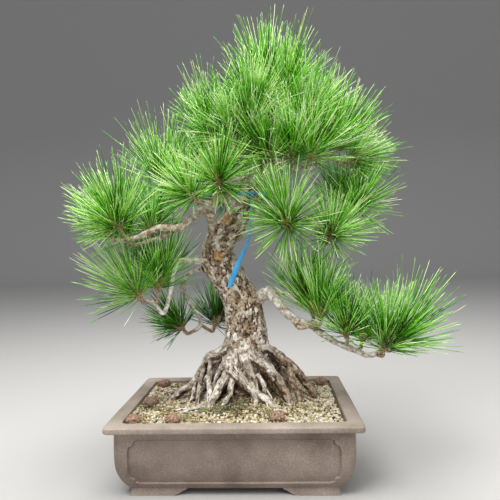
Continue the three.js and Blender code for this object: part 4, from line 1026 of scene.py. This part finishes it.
# Polyvinyl is smooth, a little glossy and lets some light in. Weather dulls it in faint clouds.
vinyl = patterned_material("soft_blue_polyvinyl", "Noise", 16.7, [
    (0.35, "#2c92da"), (0.65, "#5abcf2"),
], (0.1, 0.0003), 0.4, Detail=4.0)
label = new_piece("plant_label", *joined([tag_tail(), tag_ring()]), [vinyl])
label.data.set_sharp_from_angle(angle=np.radians(50))
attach(label, "root")
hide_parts("tag")

# Sprays. A shoot of last year's growth ends in a candle, this year's bud, and stands full of stiff needles
# that grow in pairs out of a papery sheath, wide apart low on the shoot and close about the candle at its
# top. Two weaker shoots stand beside it.

SPRAYS = {
    "left_far": [
        [[-146, -62, 343], [-157, -60, 357], [-0.08, -0.3, 0.95], 86, 74],
        [[-160, -62, 341], [-172, -61, 348], [-0.5, -0.2, 0.8], 54, 76],
        [[-150, -62, 342], [-156, -71, 356], [-0.4, -0.55, 0.73], 64, 80],
        [[-141, -42, 334], [-155, -42, 337], [-0.4, 0.5, 0.76], 76, 78],
        [[-117, -44, 341], [-122, -35, 349], [0.05, 0.3, 0.95], 84, 80],
    ],
    "hook": [
        [[-34, -58, 391], [-49, -57, 394], [-0.55, -0.35, 0.76], 64, 100],
        [[-30, -58, 390], [-17, -61, 410], [0.16, -0.4, 0.9], 70, 112],
    ],
    "left_high": [
        [[-88, 10, 422], [-109, 6, 423], [-0.16, -0.14, 0.97], 94, 60],
        [[-65, 16, 424], [-81, 21, 433], [-0.1, 0.3, 0.95], 84, 66],
        [[-28, 24, 432], [-45, 37, 440], [-0.2, 0.5, 0.83], 84, 80],
    ],
    "left_top": [
        [[-14, -1, 486], [-30, -15, 492], [-0.08, -0.35, 0.92], 82, 58],
        [[-6, 5, 483], [-37, 17, 488], [-0.28, 0.1, 0.93], 80, 52],
    ],
    "top_front": [
        [[24, -12, 485], [29, -23, 493], [-0.05, -0.4, 0.92], 90, 80],
        [[23, -14, 487], [8, -24, 485], [-0.45, -0.5, 0.74], 78, 85],
    ],
    "top": [
        [[55, 0, 547], [55, 0, 560], [-0.03, -0.05, 1], 97, 34],
        [[53, 1, 538], [75, -6, 548], [0.28, -0.2, 0.94], 90, 58],
        [[50, 2, 533], [38, 19, 538], [-0.1, 0.5, 0.84], 84, 66],
        [[52, 1, 537], [80, 18, 543], [0.4, 0.4, 0.82], 84, 66],
        [[45, 4, 523], [37, -19, 525], [-0.12, -0.5, 0.86], 80, 78],
    ],
    "right_top": [
        [[118, 8, 497], [143, 8, 497], [0.1, -0.05, 0.99], 77, 60],
        [[100, 8, 502], [109, -6, 507], [0.1, -0.45, 0.89], 90, 82],
        [[96, 8, 503], [107, 31, 507], [0.2, 0.6, 0.78], 82, 78],
    ],
    "right_high": [
        [[72, -23, 446], [89, -29, 450], [-0.1, -0.45, 0.89], 88, 85],
        [[106, -14, 442], [112, -25, 451], [0.3, -0.5, 0.81], 80, 88],
        [[58, -11, 448], [61, -34, 450], [-0.5, -0.5, 0.71], 74, 88],
        [[143, -7, 458], [152, -5, 467], [0.36, -0.15, 0.91], 84, 72],
        [[155, -5, 457], [170, -2, 452], [0.93, -0.15, 0.33], 66, 72],
    ],
    "right_mid": [
        [[98, -34, 369], [83, -53, 353], [-0.42, -0.48, 0.76], 82, 124],
        [[124, -34, 347], [138, -32, 334], [0.4, -0.4, 0.82], 70, 112],
        [[162, -7, 379], [182, 4, 376], [0.4, -0.35, 0.85], 72, 102],
        [[146, -13, 376], [161, 11, 382], [0.15, 0.35, 0.92], 80, 85],
    ],
    "right_low": [
        [[108, -54, 216], [122, -55, 222], [0.02, -0.15, 0.98], 80, 58],
        [[85, -35, 256], [99, -38, 248], [0.06, 0.05, 0.98], 82, 54],
        [[108, -46, 214], [114, -30, 226], [-0.05, 0.3, 0.95], 80, 60],
        [[156, -52, 185], [158, -59, 196], [-0.15, -0.3, 0.95], 68, 76],
        [[172, -54, 178], [181, -44, 187], [0.2, 0.4, 0.9], 80, 72],
        [[198, -55, 174], [207, -64, 178], [0.12, -0.35, 0.92], 90, 72],
        [[210, -54, 178], [225, -49, 183], [0.44, -0.1, 0.88], 97, 74],
    ],
    "left_low": [
        [[-123, -40, 252], [-136, -38, 254], [-0.46, -0.3, 0.84], 90, 84],
        [[-116, -40, 248], [-112, -37, 264], [-0.15, 0.1, 0.97], 84, 78],
        [[-90, -35, 281], [-100, -27, 283], [-0.35, 0.35, 0.86], 84, 78],
    ],
    "left_back": [
        [[-66, 30, 198], [-86, 28, 196], [-0.65, -0.15, 0.74], 62, 88],
        [[-61, 30, 206], [-40, 44, 198], [0.25, 0.4, 0.88], 70, 90],
    ],
    "back_mid": [
        [[-8, 92, 405], [-18, 112, 408], [-0.4, 0.65, 0.65], 84, 88],
        [[-1, 73, 401], [22, 94, 405], [0.45, 0.5, 0.74], 84, 88],
    ],
    "back_high": [
        [[68, 62, 469], [79, 82, 473], [0.35, 0.65, 0.68], 86, 88],
        [[58, 40, 464], [44, 59, 474], [-0.25, 0.45, 0.86], 86, 88],
    ],
}
SHOOT = {
    "r": 2.4, "neck": 1.6, "long": [24.0, 17.0, 14.0], "pairs": [62, 37, 32], "fewest": 0.62, "full": 84,
    "apart": [14, 32], "steps": 1.8,
}
NEEDLE = {
    "from": 3.0, "out": 1.6, "lean": 8.0, "lowest": 0.74, "highest": 1.0, "vary": 0.2, "uneven": 10.0,
    "stray": 0.4, "part": [2.5, 7], "bend": 0.05, "lift": 0.03, "half_wide": 0.58, "half_thick": 0.4,
    "lowest_tip": 118.0, "inside": 0.8, "clear": 1.2, "shortest": 25,
}
GOLDEN_TURN = 2.39996
CANDLE = {"tall": [[14, 21], [7, 11]], "r": [2.3, 1.6], "apart": [0.05, 0.3]}
NEEDLE_RINGS = np.array([[0.0, 1.05], [0.08, 1.0], [0.1, 0.78], [0.55, 1.0], [0.93, 0.8]])


def shoots(at, aim, random):
    """A spray's strongest shoot and two lesser ones, which leave it at its foot and lean away from it to
    opposite sides: for each its foot and its way."""
    way = unit(aim)
    first = unit(np.cross(way, random.normal(size=3)))
    second = unit(np.cross(way, first) * random.uniform(-0.8, 0.8) - first)
    tilt = np.tan(np.radians(random.uniform(*SHOOT["apart"], 2)))[:, None]
    ways = unit(np.array([way, *(way + np.array([first, second]) * tilt)]))
    feet = np.array(at) + np.array([0 * way, way * 2 + first * 1.5, way * 5 + second * 1.5])
    return list(zip(feet, ways, SHOOT["long"], SHOOT["pairs"]))


def needle_lines(foot, way, long, pairs, length, spread, random):
    """Pairs of needles round a shoot: each pair's turn follows the golden angle, its lean falls from the
    widest at the foot to almost none at the top, its two needles part by a few degrees, and each bends
    upwards a little. Lines that would run into wood are left out, and none leaves the box of the part's own
    solids."""
    side = unit(np.cross([0.6, 0.2, 0.1], way))
    across = np.cross(way, side)
    share = (np.arange(pairs) + random.uniform(0, 1, pairs)) / pairs
    turn = np.arange(pairs) * GOLDEN_TURN + random.normal(0, NEEDLE["stray"], pairs)
    lean = np.radians(spread + (NEEDLE["lean"] - spread) * share + random.normal(0, NEEDLE["uneven"], pairs))
    outward = np.cos(turn)[:, None] * side + np.sin(turn)[:, None] * across
    heading = np.cos(lean)[:, None] * way + np.sin(lean)[:, None] * outward
    part = unit(np.cross(heading, random.normal(size=(pairs, 3))))
    part *= np.tan(np.radians(random.uniform(*NEEDLE["part"], pairs)))[:, None]
    heading = unit(np.concatenate([heading + part, heading - part]))
    share, outward = np.tile(share, 2), np.tile(outward, (2, 1))
    rise = NEEDLE["from"] + (long - 2 - NEEDLE["from"]) * share
    start = foot + way * rise[:, None] + outward * NEEDLE["out"]
    reach = NEEDLE["lowest"] + (NEEDLE["highest"] - NEEDLE["lowest"]) * share
    reach = length * (reach + random.uniform(-1, 1, 2 * pairs) * NEEDLE["vary"])
    bend = random.normal(0, NEEDLE["bend"], (2 * pairs, 3)) + [0, 0, NEEDLE["lift"]]
    t = np.append(NEEDLE_RINGS[:, 0], 1.0)[None, :, None]
    low, high = [(corner - POT_MIDDLE) / MM for corner in CAD_BOX]
    low = np.maximum(low, [-1e3, -1e3, NEEDLE["lowest_tip"]])
    for _ in range(3):
        lines = start[:, None] + (heading[:, None] * t + bend[:, None] * t ** 2) * reach[:, None, None]
        tip, inside = lines[:, -1], NEEDLE["inside"]
        out = np.maximum(tip - high + inside, low + inside - tip).max(1)
        reach = np.where(out > 0, reach - out * 1.5, reach)
    steps = np.concatenate([lines[:, 2:-1] * (1 - s) + lines[:, 3:] * s for s in (0, 0.35, 0.7, 1)], axis=1)
    clear = (room_to(steps, needle_barriers) > NEEDLE["clear"]).all(1)
    return lines[clear & (reach > NEEDLE["shortest"])]


def needle_mesh(lines, random):
    """Each line as a thin half-round blade of three sides, wider than thick, that ends in a short point."""
    count = len(lines)
    heading = unit(lines[:, -1] - lines[:, 0])
    wide = unit(np.cross(heading, random.normal(size=(count, 3))))
    thick = np.cross(heading, wide)
    turn = np.array([0, 2, 4]) * np.pi / 3
    size = NEEDLE_RINGS[:, 1][None, :, None, None]
    section = (
        np.cos(turn)[:, None] * size * NEEDLE["half_wide"] * wide[:, None, None]
        + np.sin(turn)[:, None] * size * NEEDLE["half_thick"] * thick[:, None, None]
    )
    rings = lines[:, :-1, None] + section
    points = np.concatenate([rings.reshape(count, -1, 3), lines[:, -1:]], axis=1).reshape(-1, 3)
    tip = len(NEEDLE_RINGS) * 3
    end = [[tip - 3, tip - 2, tip], [tip - 2, tip - 1, tip], [tip - 1, tip - 3, tip]]
    one = np.concatenate([grid_faces(len(NEEDLE_RINGS), 3), [[2, 1, 0]], end])
    along = np.tile(np.append(np.repeat(NEEDLE_RINGS[:, 0], 3), 1.0), count)
    return points, copied(one, tip + 1, count), along, np.repeat(random.uniform(0, 1, count), tip + 1)


def twig(rows, random):
    """A young twig or shoot as one limb, rough with the feet of old sheaths."""
    centres, radius, outward, laid = limb_grid(rows, SHOOT["steps"], 9)
    return closed_rings(centres + outward * (radius + random.uniform(-0.35, 0.55, radius.shape))[..., None])


def candles(foot, way, long, random):
    """One or two buds at a shoot's top: slim pointed spindles that lean a little apart."""
    top = foot + way * (long - 3)
    spindle = np.array([
        [0, 0.6], [0.12, 0.9], [0.3, 1.0], [0.5, 0.95], [0.7, 0.72], [0.86, 0.42], [0.96, 0.15],
    ])
    turn = np.linspace(0, 2 * np.pi, 8, endpoint=False)[None, :, None]
    bodies = []
    for k in range(random.integers(1, 3)):
        heading = unit(way + random.normal(0, CANDLE["apart"][k], 3))
        tall, r = random.uniform(*CANDLE["tall"][k]), CANDLE["r"][k]
        centres = top + heading * tall * spindle[:, :1]
        _, side, across = ring_axes(centres)
        ring = np.cos(turn) * side[:, None] + np.sin(turn) * across[:, None]
        bodies.append(closed_rings(centres[:, None] + ring * r * spindle[:, None, 1:]))
    return joined(bodies)


# A pine needle is a stiff waxy leaf: fresh yellow-green, a little glossy, and wrapped at its foot in a tan
# papery sheath. It is painted a deeper green towards the heart of the spray, a painted shade, and pale at
# its tip, a painted sheen.
leaf, leaf_at = new_material("waxy_pine_needle")
leaf_tone, leaf_along = (
    add_node(leaf, "Attribute", attribute_name=name) for name in ("tone", "along")
)
leaf_patch = add_node(leaf, "TexNoise", {"Vector": leaf_at, "Scale": cells_of(45.5), "Detail": 2.0})
leaf_mixed = add_node(leaf, "Math", {0: leaf_tone, 1: 0.6, 2: leaf_patch}, operation="MULTIPLY_ADD")
# Painted shade: each needle is painted a deeper green towards the heart of the spray.
leaf_shade = add_node(leaf, "MapRange", {"Value": leaf_along, 1: 0.1, 2: 0.85, 3: -0.17, 4: 0.05})
leaf_depth = add_node(leaf, "Math", {0: leaf_mixed, 1: leaf_shade}, operation="ADD")
leaf_ramp = add_node(leaf, "ValToRGB", {"Fac": leaf_depth}, [
    (0.4, "#103a00"), (1.0, "#d0eaac"), (0.52, "#287400"), (0.68, "#53ab10"), (0.84, "#8bcf38"),
    (0.93, "#b4e178"),
])
aged_share = add_node(leaf, "ValToRGB", {"Fac": leaf_tone}, [(0.92, "#000000"), (0.95, "#b0b0b0")])
leaf_aged = add_node(leaf, "Mix", {
    "Factor_Float": aged_share, "A_Color": leaf_ramp, "B_Color": paint("#bdbf3e"),
}, data_type="RGBA")
# The tan sheath at each needle's foot, and a painted sheen that makes its tip pale.
sheath_and_sheen_share = add_node(leaf, "ValToRGB", {"Fac": leaf_along}, [
    (0.085, "#ffffff"), (1.0, "#909090"), (0.12, "#383838"), (0.3, "#000000"), (0.88, "#000000"),
])
sheath_and_sheen_ramp = add_node(leaf, "ValToRGB", {"Fac": leaf_along}, [
    (0.09, "#dabb92"), (0.6, "#c6d8a8"), (0.14, "#b4bc74"),
])
leaf_colour = add_node(leaf, "Mix", {
    "Factor_Float": sheath_and_sheen_share, "A_Color": leaf_aged, "B_Color": sheath_and_sheen_ramp,
}, data_type="RGBA")
add_node(leaf, "OutputMaterial", {"Surface": add_node(leaf, "BsdfPrincipled", {
    "Base Color": leaf_colour, "Roughness": 0.4, "Specular IOR Level": 0.25,
})})

# A candle is a bud wrapped in dry scales: tan to orange-brown, dull, with a bloom of white resin.
bud = patterned_material("scaly_pine_bud", "Voronoi", 1.43, [
    (0.1, "#f0dcb6"), (0.7, "#a9744a"), (0.4, "#d3a572"),
], (0.6, 0.0005), 0.6)

# The young twig under the needles has thin scaly bark, tan and brown.
twig_bark = patterned_material("scaly_twig_bark", "Voronoi", 1.92, [
    (0.05, "#e2d2b8"), (0.75, "#7a624b"), (0.35, "#bda384"),
], (0.8, 0.0008), 0.85)

needle_barriers = np.concatenate([wood_rods, rods([[[*point, TAG["blade"] / 2] for point in TAG_TAIL]])])
spray_rows = [
    (f"{branch}_{k}", row) for branch, rows in SPRAYS.items() for k, row in enumerate(rows, start=1)
]
# Sprays that hang low, or stand or lean towards the back, are painted a deeper green: painted shade.
for number, (spray_name, (start, at, aim, length, spread)) in enumerate(spray_rows):
    random = np.random.default_rng(700 + number)
    group = shoots(at, aim, random)
    lines = []
    for foot, way, long, pairs in group:
        first = not lines
        lines.append(needle_lines(
            foot, way, long, round(pairs * max(SHOOT["fewest"], spread / SHOOT["full"])),
            length * (1 if first else random.uniform(0.8, 1)), spread * (1 if first else 0.75), random,
        ))
    needles, needle_faces, along, tone = needle_mesh(np.concatenate(lines), random)
    # Painted shade: low and back sprays are painted a deeper green.
    tone = tone - 0.16 * ease(-15, 35, at[1]) - 0.12 * ease(-0.2, 0.3, aim[1]) - 0.12 * ease(260, 220, at[2])
    foot, way, *_ = group[0]
    stems = [twig([[*start, 2.9], [*(foot - 6 * way), SHOOT["r"]], [*foot, SHOOT["r"]]], random)]
    for foot, way, long, _ in group:
        up = [[foot - way, "r"], [foot + way * long / 2, "r"], [foot + way * long, "neck"]]
        stems.append(twig([[*point, SHOOT[size]] for point, size in up], random))
    core, tips = joined(stems), joined([candles(foot, way, long, random) for foot, way, long, _ in group])
    points, faces = joined([(needles, needle_faces), core, tips])
    kinds = np.repeat([0, 1, 2], [len(needle_faces), len(core[1]), len(tips[1])])
    rest = len(core[0]) + len(tips[0])
    piece = new_piece(
        "needles_" + spray_name, points, faces, [leaf, twig_bark, bud], kinds,
        along=np.append(along, np.zeros(rest)), tone=np.append(tone, np.full(rest, 0.5)),
    )
    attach(piece, "root")
    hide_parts("spray_" + spray_name)

# Moss and litter. Low cushions of moss have settled where the soil stays damp, and dry needles that fell
# from the tree lie about on the grains.

MOSS = [
    [3, -54, 14], [-45, -52, 8], [-133, -15, 8], [-22, -58, 12], [48, -66, 7], [120, 30, 7], [-70, -70, 8],
]
MOSS_BLADE = {"each": 380, "r": 0.6, "tall": [0.9, 2.6], "lean": 0.6}
FALLEN = {
    "count": 80, "long": [24, 66], "r": 0.42, "lift": [1.2, 2.4], "around": [140, 96], "reach": [146, 100],
    "trunk": [10, 14], "clear": 48,
}


def moss_cushions(random):
    """Small four-sided spikes, close together in a round patch, tallest in its middle and leaning all
    ways."""
    patches = np.repeat(np.array(MOSS, float), MOSS_BLADE["each"], axis=0)
    away, turn = random.uniform(0, 1.15, len(patches)), random.uniform(0, 2 * np.pi, len(patches))
    spot = patches[:, :2] + (away * patches[:, 2])[:, None] * np.column_stack([np.cos(turn), np.sin(turn)])
    foot = np.column_stack([spot, soil_height(*spot.T) + 1.0 + 1.2 * (1 - away ** 2)])
    tall = random.uniform(*MOSS_BLADE["tall"], len(foot)) * (1.1 - 0.5 * away)
    lean = random.normal(0, MOSS_BLADE["lean"], (len(foot), 2))
    tip = foot + np.column_stack([lean * tall[:, None], tall])
    corner = np.arange(4) * np.pi / 2 + random.uniform(0, np.pi / 2, (len(foot), 1))
    ring = np.stack([np.cos(corner), np.sin(corner), 0 * corner - 1], -1) * MOSS_BLADE["r"]
    points = np.concatenate([foot[:, None] + ring, tip[:, None]], axis=1).reshape(-1, 3)
    one = np.array([[0, 1, 4], [1, 2, 4], [2, 3, 4], [3, 0, 4], [1, 0, 3], [1, 3, 2]])
    return points, copied(one, 5, len(foot)), np.repeat(random.uniform(0, 1, len(foot)), 5)


def fallen_needles(random):
    """Thin three-sided rods, slightly bowed, that lie flat on the soil every which way and clear of the
    trunk."""
    around = np.array(FALLEN["around"])
    middle = random.uniform(-around, around, (FALLEN["count"] * 4, 2))
    turn = random.uniform(0, np.pi, len(middle))
    way = np.column_stack([np.cos(turn), np.sin(turn)])
    half = random.uniform(*FALLEN["long"], len(middle))[:, None] / 2
    bow = random.normal(0, 0.05, (len(middle), 1)) * half * way[:, ::-1] * [-1, 1]
    lines = np.stack([middle - way * half, middle + bow * 0.8, middle + way * half], axis=1)
    inside = (np.abs(lines) < FALLEN["reach"]).all((1, 2))
    inside &= (np.linalg.norm(lines - FALLEN["trunk"], axis=-1) > FALLEN["clear"]).all(1)
    lines, side = (kept[inside][:FALLEN["count"]] for kept in (lines, way[:, ::-1] * [-1, 1]))
    lift = soil_height(lines[..., 0], lines[..., 1]) + random.uniform(*FALLEN["lift"], lines.shape[:2])
    across = np.array([[0, 1], [0.87, -0.5], [-0.87, -0.5]]) * FALLEN["r"]
    upwards = np.broadcast_to(across[:, 1:], (len(lines), 3, 1))
    ring = np.concatenate([side[:, None] * across[:, :1], upwards], axis=-1)
    rings = np.concatenate([lines, lift[..., None]], axis=-1)[:, :, None] + ring[:, None]
    one = np.concatenate([grid_faces(3, 3), [[0, 2, 1], [6, 7, 8]]])
    tone = np.repeat(random.uniform(0, 1, len(lines)), 9)
    return rings.reshape(-1, 3), copied(one, 9, len(lines)), tone


# Moss is a carpet of tiny soft leaves, deep olive in its shade and yellow-green at its tips. A fallen
# needle dries to straw and rust. Both vary from place to place, and from one leaf or needle to the next by
# its tone.
LITTER = {
    "moss_cushions": [
        moss_cushions, 51, "cushion_moss", 0.45, {"Scale": cells_of(11.1), "Detail": 3.0}, 0.9,
        [(0.4, "#2c2f1c"), (0.98, "#b9b78c"), (0.6, "#53553a"), (0.8, "#83825a")],
    ],
    "fallen_needles": [
        fallen_needles, 52, "dry_pine_needle", 0.5, {"Scale": cells_of(8.33), "Detail": 2.0}, 0.6,
        [(0.4, "#5a3d24"), (1.0, "#d9c08c"), (0.7, "#96703f")],
    ],
}
for litter_name, (shape, seed, stuff_name, share, patches, roughness, stops) in LITTER.items():
    stuff, stuff_at = new_material(stuff_name)
    stuff_tone = add_node(stuff, "Attribute", attribute_name="tone")
    stuff_patch = add_node(stuff, "TexNoise", {"Vector": stuff_at, **patches})
    stuff_mixed = add_node(stuff, "Math", {
        0: stuff_tone, 1: share, 2: stuff_patch,
    }, operation="MULTIPLY_ADD")
    stuff_ramp = add_node(stuff, "ValToRGB", {"Fac": stuff_mixed}, stops)
    add_node(stuff, "OutputMaterial", {"Surface": add_node(stuff, "BsdfPrincipled", {
        "Base Color": stuff_ramp, "Roughness": roughness,
    })})
    points, faces, tone = shape(np.random.default_rng(seed))
    piece = new_piece(litter_name, points, faces, [stuff], tone=tone)
    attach(piece, "root")

# Cakes of fertiliser. Rape seed meal pressed into small lumps, dark reddish brown. They are laid on the
# soil with the fingers, about a hand's width apart, and rain softens them until they feed the roots.

CAKE = {"r": 10.5, "squash": 0.72, "lumps": [[0.7, 0.13], [0.25, 0.09], [0.12, 0.09]], "lift": 0.7}


def cake_body(x, y, turn, seed):
    """A squashed ball with a crumbly surface, pressed a little into the soil."""
    rise = np.linspace(-np.pi / 2, np.pi / 2, 30)[1:-1, None]
    round_it = np.linspace(0, 2 * np.pi, 44, endpoint=False)[None, :] + np.radians(turn)
    flat = np.cos(rise)
    ball = np.stack([flat * np.cos(round_it), flat * np.sin(round_it), np.sin(rise) + 0 * round_it], -1)
    lump = 1
    for k, (size, swing) in enumerate(CAKE["lumps"]):
        lump = lump + value_noise(ball, size, seed + k) * swing
    lift = soil_height(x, y) + CAKE["r"] * CAKE["squash"] * CAKE["lift"]
    return closed_rings(ball * lump[..., None] * CAKE["r"] * [1, 1, CAKE["squash"]] + [x, y, lift])


# Pressed meal is dull and crumbly, red-brown with paler husks in it.
meal = patterned_material("pressed_seed_meal", "Noise", 2.63, [
    (0.34, "#46342a"), (0.7, "#cdb79f"), (0.44, "#765a49"), (0.56, "#977b67"),
], (0.8, 0.0015), 0.95, Detail=6.0, Roughness=0.7)
for number, (x, y, turn) in enumerate(CAKES, start=1):
    piece = new_piece(f"fertiliser_cake_{number}", *cake_body(x, y, turn, 90 + number), [meal])
    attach(piece, "root")
    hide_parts(f"cake_{number}")
